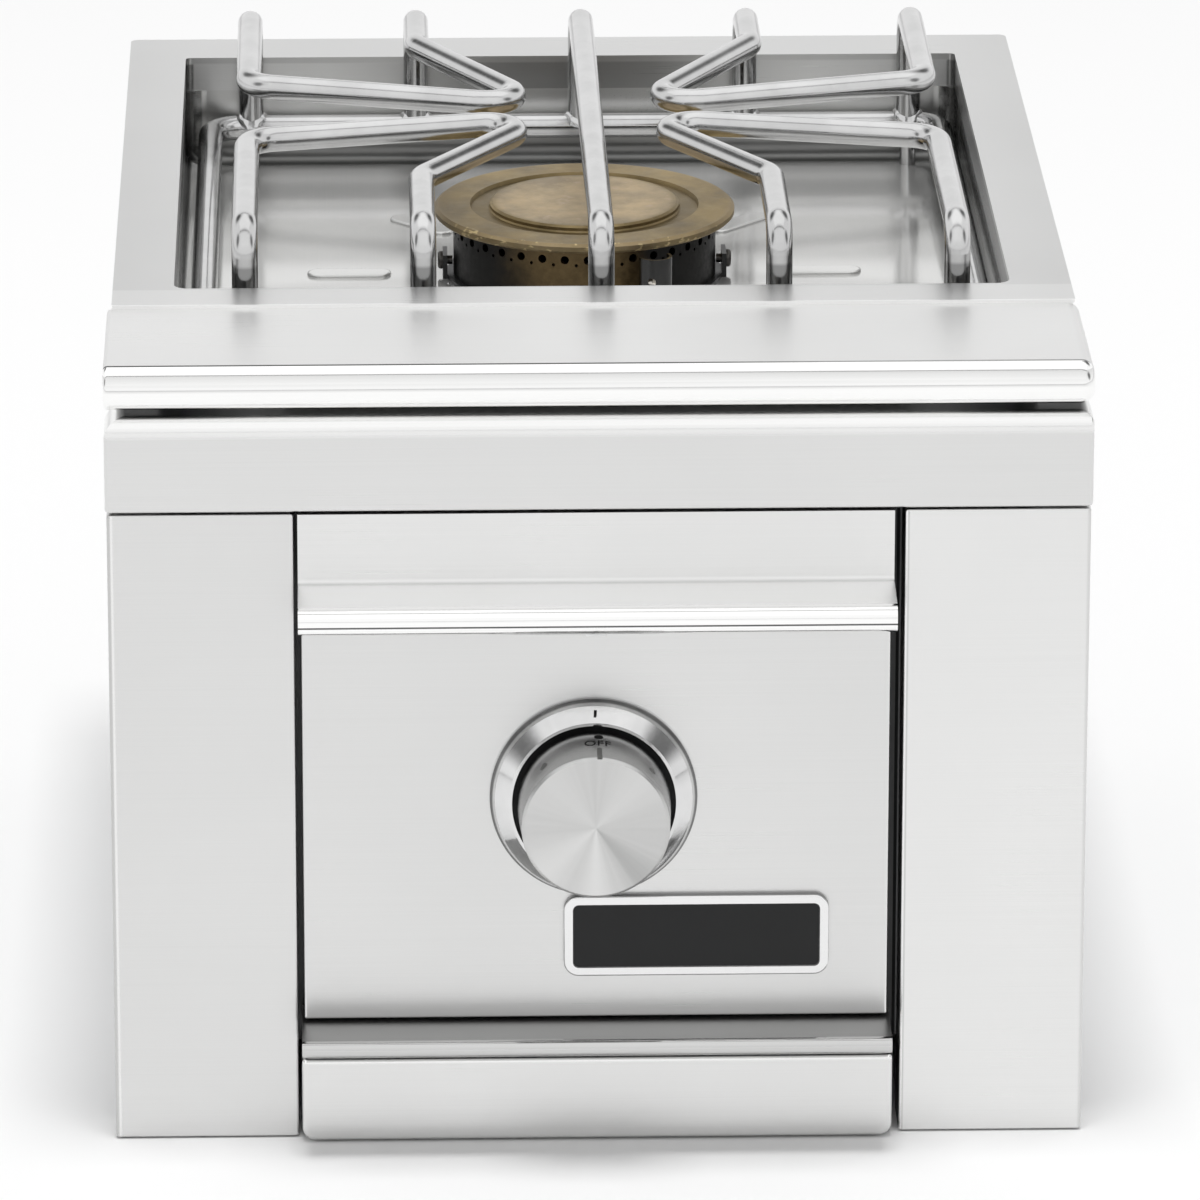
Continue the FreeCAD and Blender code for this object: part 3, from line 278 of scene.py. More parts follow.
def below(letter, level, soft=0.0004):
    """A mask over what lies before a place along one axis."""
    return lambda made: made.span(made.axis(letter), level - soft, level + soft, 1.0, 0.0)


def both(first, second):
    """A mask where two masks meet."""
    return lambda made: made.maths("MULTIPLY", first(made), second(made))


def band(letter, low, high, soft=0.0004):
    """A mask over what lies between two places along one axis."""
    return both(above(letter, low, soft), below(letter, high, soft))


def beyond(letter, distance, soft=0.0004):
    """A mask over what lies further out than a distance, on both sides of the middle."""
    def mask(made):
        reach = made.maths("ABSOLUTE", made.axis(letter))
        return made.span(reach, distance - soft, distance + soft)
    return mask


def outside(x, z, radius, soft=0.0002):
    """A mask over what lies further than a radius from a line that runs front to back."""
    def mask(made):
        reach = made.radius(made.place((x, 0.0, z), (1.0, 0.0, 1.0)))
        return made.span(reach, radius - soft, radius + soft)
    return mask


def brushed_steel(name, base, roughness, along="X", zones=(), strength=0.035):
    """Brushed stainless: fine streaks along one axis and faint clouds. Each zone is a mask with the
    brightness painted there, which stands in for highlights, reflections and shade, and the roughness that
    the sheet has there."""
    made = Finish(name, base, roughness)
    streaks = made.noise(grain_scale(along, 9.0, 2600.0), detail=3.0, roughness=0.6)
    wide = made.noise(grain_scale(along, 3.0, 420.0), detail=2.0, seed=0.31)
    clouds = made.noise(11.0, detail=3.0, seed=0.7)
    light = made.mix(made.span(streaks, 0.3, 0.7), shade(base, 0.98), shade(base, 1.02))
    banded = made.mix(made.span(wide, 0.35, 0.65, 0.0, 0.55), light, shade(base, 1.005))
    tone = made.mix(made.span(clouds, 0.35, 0.68, 0.0, 0.30), banded, shade(base, 0.93))
    spread = made.span(made.maths("ADD", streaks, made.maths("MULTIPLY", clouds, 0.6)),
                       0.5, 1.1, -0.03, 0.035)
    rough = made.maths("ADD", spread, roughness)
    relief = made.maths("ADD", streaks, made.maths("MULTIPLY", wide, 0.5))
    # Each zone paints a highlight, a dark reflection or shade into the colour.
    for mask, brightness, zone_roughness in zones:
        amount = mask(made)
        tinted = made.mix(1.0, tone, (brightness, brightness, brightness), blend="MULTIPLY")
        tone = made.mix(amount, tone, tinted)
        polished = zone_roughness < POLISHED
        unevenness = made.maths("MULTIPLY", spread, 0.3 if polished else 1.0)
        inside = made.maths("ADD", unevenness, zone_roughness)
        rough = made.blend(amount, rough, inside)
        if polished:
            relief = made.maths("MULTIPLY", relief, made.maths("SUBTRACT", 1.0, amount))
    made.colour(tone)
    made.roughness(rough)
    made.bump(relief, strength, 0.00006)
    return made


def rolled_steel(name, base, roughness=0.38):
    """Plain mill sheet: broad soft mottling with faint scratches."""
    made = Finish(name, base, roughness)
    mottle = made.noise(26.0, detail=4.0, roughness=0.6)
    lines = made.noise((14.0, 900.0, 900.0), detail=2.0, seed=0.2)
    scuffs = made.noise(140.0, detail=2.0, seed=0.9, distortion=1.5)
    tone = made.mix(made.span(mottle, 0.35, 0.7), shade(base, 0.9), shade(base, 1.06))
    made.colour(made.mix(made.span(lines, 0.3, 0.75, 0.0, 0.4), tone, shade(base, 0.95)))
    made.roughness(made.span(scuffs, 0.3, 0.7, roughness - 0.06, roughness + 0.1))
    made.bump(made.maths("ADD", mottle, lines), 0.06, 0.0001)
    return made


def polished_steel(name, base, roughness, edge=None):
    """Bright rod and trim: a clean polish with small clouds. The edge, where one is given, is a mask
    and the brightness there, which darkens it as painted shade."""
    made = Finish(name, base, roughness)
    clouds = made.noise(60.0, detail=3.0)
    fine = made.noise(700.0, detail=2.0, seed=0.4)
    tone = made.mix(made.span(clouds, 0.35, 0.65), shade(base, 0.92), shade(base, 1.05))
    if edge:
        # The edge's brightness is painted shade.
        mask, brightness = edge
        tone = made.mix(mask(made), tone, shade(base, brightness))
    made.colour(tone)
    smears = made.maths("ADD", clouds, fine)
    made.roughness(made.span(smears, 0.7, 1.3, roughness - 0.04, roughness + 0.05))
    made.bump(fine, 0.03, 0.00005)
    return made


def cast_metal(name, base, roughness, speckle, strength):
    """Cast or turned metal with a fine speckle and a darker stain."""
    made = Finish(name, base, roughness)
    grit = made.noise(speckle, detail=3.0, roughness=0.65)
    stain = made.noise(45.0, detail=5.0, roughness=0.62, seed=0.6)
    tone = made.mix(made.span(stain, 0.35, 0.65), shade(base, 0.72), shade(base, 1.12))
    made.colour(made.mix(made.span(grit, 0.4, 0.7, 0.0, 0.5), tone, shade(base, 1.25)))
    made.roughness(made.span(grit, 0.3, 0.7, roughness - 0.07, roughness + 0.1))
    made.bump(grit, strength, 0.00012)
    return made


def smooth_plastic(name, base, roughness, strength=0.12):
    """Moulded plastic or enamel with a fine eggshell grain."""
    made = Finish(name, base, roughness, metallic=0.0)
    pores = made.noise(900.0, detail=2.0)
    haze = made.noise(40.0, detail=3.0, seed=0.5)
    made.colour(made.mix(made.span(haze, 0.35, 0.7), shade(base, 0.85), shade(base, 1.2)))
    made.roughness(made.span(haze, 0.3, 0.7, roughness - 0.05, roughness + 0.08))
    made.bump(pores, strength, 0.00008)
    return made


def give(finish, *nodes):
    """One finish on whole pieces of the frame."""
    for node in nodes:
        materials = NODES[node].data.materials
        materials.clear()
        materials.append(finish.material)


# Mesh helpers


def finished(bm, name, finishes, body):
    """Turns a bmesh into a piece that rides on a body of the frame."""
    bmesh.ops.remove_doubles(bm, verts=bm.verts, dist=1e-7)
    bmesh.ops.recalc_face_normals(bm, faces=bm.faces)
    mesh = bpy.data.meshes.new(name)
    bm.to_mesh(mesh)
    bm.free()
    piece = bpy.data.objects.new(name, mesh)
    bpy.context.scene.collection.objects.link(piece)
    for finish in finishes:
        mesh.materials.append(finish.material)
    mesh.shade_smooth()
    mesh.set_sharp_from_angle(angle=math.radians(35.0))
    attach(piece, body)
    return piece


def plate_outline(bm, left, right, bottom, top, corner, depth):
    """A rounded rectangle that faces the front, as one face."""
    made = bmesh.ops.create_grid(bm, x_segments=1, y_segments=1, size=0.5)
    verts = made["verts"]
    bmesh.ops.scale(bm, verts=verts, vec=(right - left, top - bottom, 1.0))
    bmesh.ops.rotate(bm, verts=verts, matrix=Matrix.Rotation(math.radians(90.0), 3, "X"))
    bmesh.ops.translate(bm, verts=verts, vec=((left + right) / 2, depth, (bottom + top) / 2))
    bmesh.ops.bevel(bm, geom=verts, offset=corner, segments=8, profile=0.5,
                    affect="VERTICES", material=-1)
    bm.faces.ensure_lookup_table()
    return max(bm.faces, key=lambda f: f.calc_area())


def raised(bm, face, height):
    """Draws a face out to the front by a height, and closes its back."""
    made = bmesh.ops.extrude_face_region(bm, geom=[face])
    fronts = [g for g in made["geom"] if isinstance(g, bmesh.types.BMFace)]
    verts = [g for g in made["geom"] if isinstance(g, bmesh.types.BMVert)]
    bmesh.ops.translate(bm, verts=verts, vec=(0.0, -height, 0.0))
    return fronts[0]


# Pieces


def brushed_front():
    """Control panel, visor, side panels, rail and fascia. Each piece's brightness against the sheet is
    partly painted light, so that pieces of one sheet read lighter or darker as they are lit. Each zone is
    a mask, the brightness against its sheet and the roughness there; the zones paint highlights, dark
    reflections and shade."""
    tones = bpy.context.scene.burner_finishes

    def front(node, brightness, *zones):
        base = shade(tones.brushed, brightness)
        give(brushed_steel(node.replace("_", " "), base, tones.sheet_roughness, zones=zones), node)

    # Painted shade along the outer edge of the left panel, and a painted highlight just inside it.
    front("side_panel_left", 1.03,
          (below("X", -0.1634, 0.0003), 0.80, 0.30),
          (band("X", -0.1634, -0.1626, 0.0002), 1.18, 0.20))
    # The right panel is painted lighter than the left as painted light. Its zones paint a darker outer
    # edge, a highlight and a dark line along the inner edge, and painted shade on the folded back part
    # seen in the gap.
    folded_back = both(below("X", 0.1023, 0.0001), above("Y", -0.1915))
    front("side_panel_right", 1.125,
          (above("X", 0.1634, 0.0003), 0.86, 0.30),
          (band("X", 0.1023, 0.1031, 0.0001), 1.12, 0.25),
          (band("X", 0.1031, 0.1037, 0.0001), 0.78, 0.30),
          (folded_back, 0.10, 0.40))
    # Painted highlight along the right edge of the control panel.
    front("control_panel", 1.03, (above("X", 0.0972, 0.0001), 1.12, 0.25))

    # Painted light on the rail's nose: the polished nose is painted brighter as a painted highlight, its
    # upper part gets a painted dark reflection band, and the crest a painted dark reflection line, darker
    # over most of its width.
    nose = below("Y", -0.1889)
    upper_nose = both(above("Z", 0.2695, 0.0022), below("Z", 0.2713, 0.0001))
    crest = both(band("Y", -0.1892, -0.1882, 0.0002), above("Z", 0.2725))
    front("front_rail", 1.11,
          (nose, 1.24, 0.07),
          (both(nose, upper_nose), 0.72, 0.07),
          (crest, 0.42, 0.30),
          (both(crest, below("X", 0.05, 0.03)), 0.14, 0.30))
    # Painted highlight on the fascia's rolled top edge, and painted shade in the groove under the rail,
    # darkest towards its ends.
    under_rail = both(above("Y", -0.1926), above("Z", 0.2559))
    front("fascia", 1.045,
          (above("Z", 0.2505, 0.0015), 1.22, 0.20),
          (under_rail, 0.95, 0.40),
          (both(under_rail, beyond("X", 0.128, 0.012)), 0.14, 0.40))

    # Painted light on the visor: the slope is painted lighter where the light falls from above, the
    # polished lip is painted brighter as a painted highlight, and a painted dark reflection line runs
    # across the lip.
    slope = both(band("Y", -0.2112, -0.1945, 0.0006), above("Z", 0.1940))
    rolled_lip = below("Y", -0.2112)
    lip_dark_line = both(below("Y", -0.2140), band("Z", 0.18975, 0.19035, 0.0001))
    front("visor", 1.11, (slope, 1.30, 0.42), (rolled_lip, 1.26, 0.07), (lip_dark_line, 0.12, 0.40))
    # Painted dark reflection on the top of the drip tray handle.
    top = both(above("Y", -0.2114), above("Z", 0.0414))
    front("drip_tray_handle", 0.98, (top, 0.56, 0.34), (rolled_lip, 0.90, 0.07))
    # Painted highlight along the top edge of the drip tray cover.
    front("drip_tray_cover", 1.10, (above("Z", 0.0285), 1.2, 0.10))


def sheet_work():
    """Deck, tray, housing and drip tray, with zones as on the front that paint light and shade into the
    sheets.
    """
    tones = bpy.context.scene.burner_finishes
    # Painted light and shade on the deck: the walls of the opening are painted darker in the middle,
    # lighter further out and darkest at the far left and right; the front of the deck is painted lighter
    # in two steps, and the outer sides a little darker.
    lip = both(below("Z", 0.2724), band("Y", -0.1040, 0.2))
    deck_zones = ((lip, 0.71, 0.30),
                  (both(lip, beyond("X", 0.0600, 0.03)), 1.70, 0.30),
                  (both(lip, below("X", -0.1400)), 0.35, 0.28),
                  (both(lip, above("X", 0.1400)), 0.42, 0.28),
                  (below("Y", -0.1040), 1.12, 0.30),
                  (below("Y", -0.1218, 0.0002), 1.40, 0.30),
                  (above("X", 0.1480, 0.012), 0.96, 0.32),
                  (below("X", -0.1480, 0.012), 0.95, 0.32))
    deck = brushed_steel("deck", shade(tones.brushed, 0.91), tones.sheet_roughness, zones=deck_zones)
    give(deck, "deck_frame")

    # Painted light and shade on the tray: its floor and back wall are painted lighter, and the foot of the
    # back wall, the fillet and the side walls darker as painted shade.
    floor_of_tray = both(below("Z", 0.2366), below("Y", 0.1930, 0.0008))
    back = both(above("Y", 0.1960), above("Z", 0.2500, 0.004))
    foot_of_back = both(above("Y", 0.1970), band("Z", 0.2415, 0.2490, 0.003))
    fillet = both(above("Y", 0.1930, 0.0008), below("Z", 0.2415, 0.0008))
    side_walls = both(beyond("X", 0.1370), above("Z", 0.2366))
    tray_zones = ((floor_of_tray, 1.72, 0.10), (back, 1.80, 0.30), (foot_of_back, 0.85, 0.30),
                  (fillet, 0.60, 0.34), (side_walls, 0.45, 0.26))
    satin = brushed_steel("satin tray", tones.tray, 0.30, along="Y", strength=0.03, zones=tray_zones)
    dulled = satin.span(floor_of_tray(satin), 0.0, 1.0, 1.0, 0.55)
    satin.join(dulled, satin.shader.inputs["Metallic"])
    give(satin, "burner_tray")

    # Painted shade on the front of the inner wall where it shows through the gaps, with a painted bright
    # line where the side panel's edge shows.
    outer = both(below("Y", -0.1730, 0.0002), band("X", -0.1050, 0.1050))
    wall_zones = ((outer, 0.14, 0.40),
                  (both(outer, band("X", 0.1006, 0.1017, 0.0001)), 0.2, 0.40),
                  (both(outer, band("X", 0.1017, 0.1030, 0.0001)), 2.2, 0.40))
    give(brushed_steel("inner wall", tones.housing, 0.38, along="Z", zones=wall_zones),
         "inner_front_wall")
    give(rolled_steel("rolled sheet", tones.housing),
         "housing_wall_left", "housing_wall_right", "housing_wall_back", "floor_pan",
         "drip_tray_runner_left", "drip_tray_runner_right", "manifold_bracket")
    give(rolled_steel("tray sheet", shade(tones.tray, 1.4), 0.34), "drip_tray_box")
    give(cast_metal("plain screws", (0.55, 0.55, 0.54), 0.3, speckle=900.0, strength=0.1),
         "housing_screws", "valve_screws")
    give(cast_metal("dark screws", (0.10, 0.095, 0.09), 0.35, speckle=900.0, strength=0.1),
         "holder_screws")


def burner_parts():
    """Cap, drum, holder and igniter."""
    tones = bpy.context.scene.burner_finishes
    give(bronze_cap(tones), "burner_cap")
    give(drum_with_painted_shade(tones), "burner_body", "burner_head")
    give(smooth_plastic("black enamel", tones.enamel, 0.32), "holder_ring")
    give(polished_steel("igniter shield", shade(tones.polished, 0.15), 0.22), "igniter_collector")
    give(smooth_plastic("glazed ceramic", tones.ceramic, 0.18, strength=0.04), "igniter_electrode")
    give(smooth_plastic("module case", (0.03, 0.03, 0.032), 0.45, strength=0.25), "spark_module")


def drum_with_painted_shade(tones):
    """Heat-dark brass that shows in front, with painted shade that darkens it to near black round the
    sides and the back.
    """
    made = Finish("heat-dark drum", tones.drum, 0.42)
    grit = made.noise(500.0, detail=3.0, roughness=0.65)
    stain = made.noise(45.0, detail=5.0, roughness=0.62, seed=0.6)
    brass = made.mix(made.span(stain, 0.35, 0.65), shade(tones.drum, 0.80), shade(tones.drum, 1.30))
    speckled = made.mix(made.span(grit, 0.4, 0.7, 0.0, 0.4), brass, shade(tones.drum, 1.8))
    # Painted shade: the drum is darkened round its sides and its back.
    across = made.maths("ADD", made.axis("X"), made.span(stain, 0.3, 0.7, -0.004, 0.004))
    left = made.span(across, -0.031, -0.012, 1.0, 0.0, smooth=True)
    right = made.span(across, 0.014, 0.024, 0.0, 1.0, smooth=True)
    behind = made.span(made.axis("Y"), 0.0300, 0.0450, 0.0, 1.0, smooth=True)
    shaded_sides = made.maths("MAXIMUM", made.maths("MAXIMUM", left, right), behind)
    made.colour(made.mix(shaded_sides, speckled, (0.035, 0.034, 0.033)))
    made.roughness(made.span(grit, 0.3, 0.7, 0.35, 0.52))
    made.bump(grit, 0.2, 0.00012)
    return made


def bronze_cap(tones):
    """Dull bronze, mottled: a paler middle, a darker outer ring, a worn rim, painted shade in the groove
    and on the left side, and painted glints on the front of the rim.
    """
    made = Finish("cap bronze", tones.bronze, 0.45)
    cloud = made.noise(38.0, detail=6.0, roughness=0.6)
    spots = made.noise(170.0, detail=4.0, roughness=0.7, seed=0.4)
    fine = made.noise(900.0, detail=2.0, seed=0.8)
    radius = made.radius(made.place(CAP_CENTRE, (1.0, 1.0, 0.0)))
    tone = made.mix(made.span(cloud, 0.38, 0.62), shade(tones.bronze, 0.70), shade(tones.bronze, 1.30))
    spotted = made.mix(made.span(spots, 0.55, 0.72, 0.0, 0.65), tone, shade(tones.bronze_worn, 1.05))
    # The middle is paler than the outer ring.
    middle = made.span(radius, 0.030, 0.0335, 1.0, 0.0, smooth=True)
    pale = made.mix(1.0, spotted, (1.43, 1.47, 1.78), blend="MULTIPLY")
    paler_middle = made.mix(middle, spotted, pale)
    # Painted shade: the groove round the middle is darkened.
    rise = made.span(radius, 0.0335, 0.0345)
    groove = made.maths("MULTIPLY", rise, made.span(radius, 0.0400, 0.0410, 1.0, 0.0))
    shaded_groove = made.mix(made.maths("MULTIPLY", groove, 0.55), paler_middle, shade(tones.bronze, 0.55))
    rim = made.span(radius, 0.0505, 0.0528, 0.0, 0.75, smooth=True)
    worn = made.mix(made.maths("MULTIPLY", rim, made.span(spots, 0.3, 0.6, 0.3, 0.8)), shaded_groove,
                    tones.bronze_worn)
    # Painted highlights: bright glints on the front of the rim.
    glint_specks = made.span(made.noise((260.0, 260.0, 500.0), detail=2.0, seed=0.15), 0.60, 0.66)
    rim_glints = made.maths("MULTIPLY", glint_specks, made.span(radius, 0.0508, 0.0520))
    ahead = made.maths("MULTIPLY", rim_glints, made.span(made.axis("Y"), 0.010, 0.030, 1.0, 0.0))
    # Painted shade: the left side of the cap is darkened.
    stain = made.span(made.axis("X"), -0.050, -0.030, 0.45, 0.0)
    left_shaded = made.mix(stain, worn, shade(tones.bronze, 0.45))
    made.colour(made.mix(ahead, left_shaded, (0.74, 0.60, 0.33)))
    made.roughness(made.span(made.maths("ADD", cloud, spots), 0.7, 1.3, 0.36, 0.55))
    made.bump(made.maths("ADD", spots, made.maths("MULTIPLY", fine, 0.4)), 0.15, 0.00015)
    return made


def gas_parts():
    """Pipes, valve, jet and mixing tube."""
    tones = bpy.context.scene.burner_finishes
    give(cast_metal("plated pipe", tones.pipe, 0.33, speckle=400.0, strength=0.08),
         "manifold", "mixing_tube", "air_shutter")
    give(cast_metal("turned brass", tones.brass, 0.26, speckle=700.0, strength=0.08),
         "valve_body", "orifice", "inlet_fitting")
    give(polished_steel("turned steel", shade(tones.polished, 0.85), 0.2), "valve_stem", "stem_collar")


def grate():
    """Polished rods, and a weld bead where each leg stands on the loop."""
    tones = bpy.context.scene.burner_finishes
    # Painted shade: the lower part of the front legs is darkened.
    front_feet = both(below("Y", -0.0800), below("Z", 0.2805, 0.0006))
    rods = polished_steel("polished rod", shade(tones.polished, 0.76), tones.rod_roughness,
                          edge=(front_feet, 0.55))
    give(rods, "grate_loop", "grate_finger_front_left", "grate_finger_front_right",
         "grate_finger_rear_left", "grate_finger_rear_right", "grate_centre_rod")
    for index, x in enumerate((-118.5, -57.6, 3.3, 64.2, 125.1)):
        for end, y in (("front", -93.35), ("rear", 189.65)):
            bead = weld_bead(x * MM, y * MM, 254.6 * MM)
            finished(bead, f"weld_bead_{end}_{index}", [rods], "grate")


def weld_bead(x, y, z):
    """A puddled bead round a leg: a spun fillet with a rippled edge that sinks over the loop's sides."""
    reach = bpy.context.scene.burner_details.bead_size
    inner = ROD_RADIUS - 0.0003
    profile = [(inner, -0.0005), (ROD_RADIUS + reach * 0.95, -0.0004),
               (ROD_RADIUS + reach * 0.85, reach * 0.35), (ROD_RADIUS + reach * 0.45, reach * 0.75),
               (ROD_RADIUS + reach * 0.1, reach * 1.1), (inner, reach * 1.2)]
    ripples, ripple_height = 9.0, 0.05
    steepest, sink = 1.4, 0.0022
    bm = bmesh.new()
    verts = [bm.verts.new((radius, 0.0, height)) for radius, height in profile]
    edges = [bm.edges.new(pair) for pair in zip(verts, verts[1:] + verts[:1])]
    bmesh.ops.spin(bm, geom=verts + edges, cent=(0, 0, 0), axis=(0, 0, 1), dvec=(0, 0, 0),
                   angle=math.tau, steps=28, use_merge=True, use_duplicate=False)
    for vert in bm.verts:
        turn = math.atan2(vert.co.y, vert.co.x)
        swell = 1.0 + ripple_height * math.sin(ripples * turn + x * 900.0)
        vert.co.x *= swell
        vert.co.y *= swell
        fall = (vert.co.y / ROD_RADIUS) ** 2
        vert.co.z -= min(fall, steepest) * sink
    bmesh.ops.translate(bm, verts=bm.verts, vec=(x, y, z))
    return bm


def knob_parts():
    """Spun knob, its marks, and the dished bezel behind it."""
    tones = bpy.context.scene.burner_finishes
    details = bpy.context.scene.burner_details
    give(spun_knob(tones), "knob")
    # Painted shade: the foot of the bezel is darkened.
    bezel_foot = outside(KNOB_X, KNOB_Z, 0.0341)
    mirror = polished_steel("mirror bezel", shade(tones.polished, 0.90), 0.09, edge=(bezel_foot, 0.30))
    give(mirror, "bezel")
    give(smooth_plastic("black insert", tones.black, 0.5), "bezel_insert")
    ink = smooth_plastic("filled engraving", tones.ink, 0.7)
    ink.shader.inputs["Specular IOR Level"].default_value = 0.05
    groove = cast_metal("milled groove", (0.16, 0.16, 0.155), 0.4, speckle=800.0, strength=0.1)

    def mark(shape, name, finish, depth, turn):
        wrap(shape, depth, turn)
        finished(shape, name, [finish], "knob")

    turn = details.mark_turn
    word = lettering("OFF", details.letter_width, details.letter_height)
    mark(word, "knob_word", ink, -0.0183, turn - math.radians(1.0))
    mark(disc(details.dot_size / 2), "knob_dot", ink, -0.0129, turn)
    mark(slot_mark(details.groove_width, 0.0092), "knob_pointer", groove, -0.0271, turn)
    mark(flame_mark(0.0030, 0.0042), "knob_flame_high", groove, -0.0215, turn - details.flame_turn)
    mark(flame_mark(0.0030, 0.0030), "knob_flame_low", groove, -0.0215, turn + details.flame_turn)
    tick = slot_mark(0.0010, 0.0046)
    head = [vert for vert in tick.verts if vert.co.y > 0.0014]
    bmesh.ops.scale(tick, verts=head, vec=(1.9, 1.0, 1.0))
    lay_on_bezel(tick)
    finished(tick, "bezel_tick", [ink], "housing")


def spun_knob(tones):
    """A face spun in fine rings, with painted reflections in light and dark sectors, and a satin barrel
    darkened with painted shade.
    """
    made = Finish("spun knob", tones.brushed, 0.26)
    flat = made.place((KNOB_X, 0.0, KNOB_Z), (1.0, 0.0, 1.0))
    radius = made.radius(flat)
    rings = made.node("ShaderNodeTexNoise", noise_dimensions="1D")
    rings.inputs["Scale"].default_value = 6000.0
    rings.inputs["Detail"].default_value = 3.0
    made.join(radius, rings.inputs["W"])
    parts = made.node("ShaderNodeSeparateXYZ")
    made.join(flat, parts.inputs["Vector"])
    turn = made.maths("ARCTAN2", parts.outputs["Z"], parts.outputs["X"])
    rays = made.node("ShaderNodeTexNoise", noise_dimensions="1D")
    rays.inputs["Scale"].default_value = 9.0
    rays.inputs["Detail"].default_value = 4.0
    made.join(turn, rays.inputs["W"])
    # Painted reflection: light and dark sectors fixed on the face.
    share = made.span(turn, -math.pi, math.pi)
    reflection_sectors = made.ramp(share, [(0.0, 0.82), (0.12, 0.97), (0.19, 0.84), (0.25, 0.99), (0.305, 0.82),
                                (0.36, 0.60), (0.44, 0.78), (0.52, 0.80), (0.63, 0.90), (0.75, 0.79),
                                (0.87, 0.88), (1.0, 0.82)])
    spun = made.mix(made.span(rings.outputs["Fac"], 0.3, 0.7), shade(tones.brushed, 0.93),
                    shade(tones.brushed, 1.08))
    lit = made.mix(1.0, spun, reflection_sectors, blend="MULTIPLY")
    fanned = made.mix(made.span(rays.outputs["Fac"], 0.35, 0.7, 0.0, 0.2), lit, spun)
    # Painted shade: the barrel is painted darker than the face.
    side = made.noise((700.0, 2400.0, 700.0), detail=2.0)
    satin = made.mix(made.span(side, 0.3, 0.7), shade(tones.brushed, 0.51), shade(tones.brushed, 0.60))
    face = made.span(made.axis("Y"), -0.2246, -0.2242, 1.0, 0.0)
    made.colour(made.mix(face, satin, fanned))
    made.shader.inputs["Anisotropic"].default_value = 0.75
    tangent = made.node("ShaderNodeTangent", direction_type="RADIAL", axis="Y")
    made.join(tangent.outputs["Tangent"], made.shader.inputs["Tangent"])
    return made


def disc(radius):
    """A round mark."""
    bm = bmesh.new()
    bmesh.ops.create_circle(bm, cap_ends=True, cap_tris=False, segments=32, radius=radius)
    return thickened(bm)


def thickened(bm):
    """Gives a flat mark its small height."""
    made = bmesh.ops.extrude_face_region(bm, geom=bm.faces[:])
    verts = [g for g in made["geom"] if isinstance(g, bmesh.types.BMVert)]
    bmesh.ops.translate(bm, verts=verts, vec=(0.0, 0.0, 0.00014))
    return bm


def slot_mark(width, run):
    """A straight mark with a rounded end, along the second axis."""
    bm = bmesh.new()
    bmesh.ops.create_grid(bm, x_segments=3, y_segments=6, size=0.5)
    bmesh.ops.scale(bm, verts=bm.verts, vec=(width, run, 1.0))
    for vert in bm.verts:
        if abs(vert.co.y - run / 2) < 1e-9 and abs(abs(vert.co.x) - width / 2) < 1e-9:
            vert.co.y -= width * 0.35
    return thickened(bm)


def flame_mark(width, height):
    """A small flame: a drop with its point at one end."""
    bm = bmesh.new()
    bmesh.ops.create_circle(bm, cap_ends=True, cap_tris=False, segments=20, radius=0.5)
    for vert in bm.verts:
        rise = vert.co.y + 0.5
        vert.co.x *= width * (1.0 - 0.55 * rise) * 1.3
        vert.co.y *= height
    return thickened(bm)


def lettering(word, width, height):
    """A word as a thin mesh, centred, with its width and height in metres."""
    curve = bpy.data.curves.new("lettering", "FONT")
    curve.body = word
    curve.extrude = 0.0
    curve.resolution_u = 4
    helper = bpy.data.objects.new("lettering", curve)
    bpy.context.scene.collection.objects.link(helper)
    bpy.context.view_layer.update()
    mesh = bpy.data.meshes.new_from_object(helper)
    bpy.data.objects.remove(helper)
    bpy.data.curves.remove(curve)
    bm = bmesh.new()
    bm.from_mesh(mesh)
    bpy.data.meshes.remove(mesh)
    xs = [v.co.x for v in bm.verts]
    ys = [v.co.y for v in bm.verts]
    middle = Vector(((min(xs) + max(xs)) / 2, (min(ys) + max(ys)) / 2, 0.0))
    bmesh.ops.translate(bm, verts=bm.verts, vec=-middle)
    bmesh.ops.scale(bm, verts=bm.verts,
                    vec=(width / (max(xs) - min(xs)), height / (max(ys) - min(ys)), 1.0))
    return thickened(bm)


def wrap(bm, depth, turn):
    """Lays a flat mark on the barrel of the knob, at a depth from the fascia, turned from the top.
    The second axis of the mark runs away from the viewer, so that words read from above."""
    knob_back, knob_length = -0.0088, 0.023
    back_radius, taper = 0.0259, 0.00115
    bite = 0.00004
    for vert in bm.verts:
        along = depth + vert.co.y
        barrel = back_radius - taper * (knob_back - along) / knob_length
        swing = turn + vert.co.x / barrel
        reach = barrel - bite + vert.co.z
        vert.co = Vector((KNOB_X + reach * math.sin(swing), FASCIA_FACE + along,
                          KNOB_Z + reach * math.cos(swing)))


def lay_on_bezel(bm):
    """Lays the tick on the upper slope of the bezel, which rises from its rim to its mouth."""
    rim_radius, slope_run = 0.0333, 0.0047
    rim_height, slope_rise = 0.0037, 0.0036
    tick_x = 0.0004
    for vert in bm.verts:
        share = 0.5 - vert.co.y / slope_run
        radius = rim_radius - slope_run * (1.0 - share)
        height = rim_height + slope_rise * share
        vert.co = Vector((KNOB_X + tick_x + vert.co.x, FASCIA_FACE - height - vert.co.z, KNOB_Z + radius))


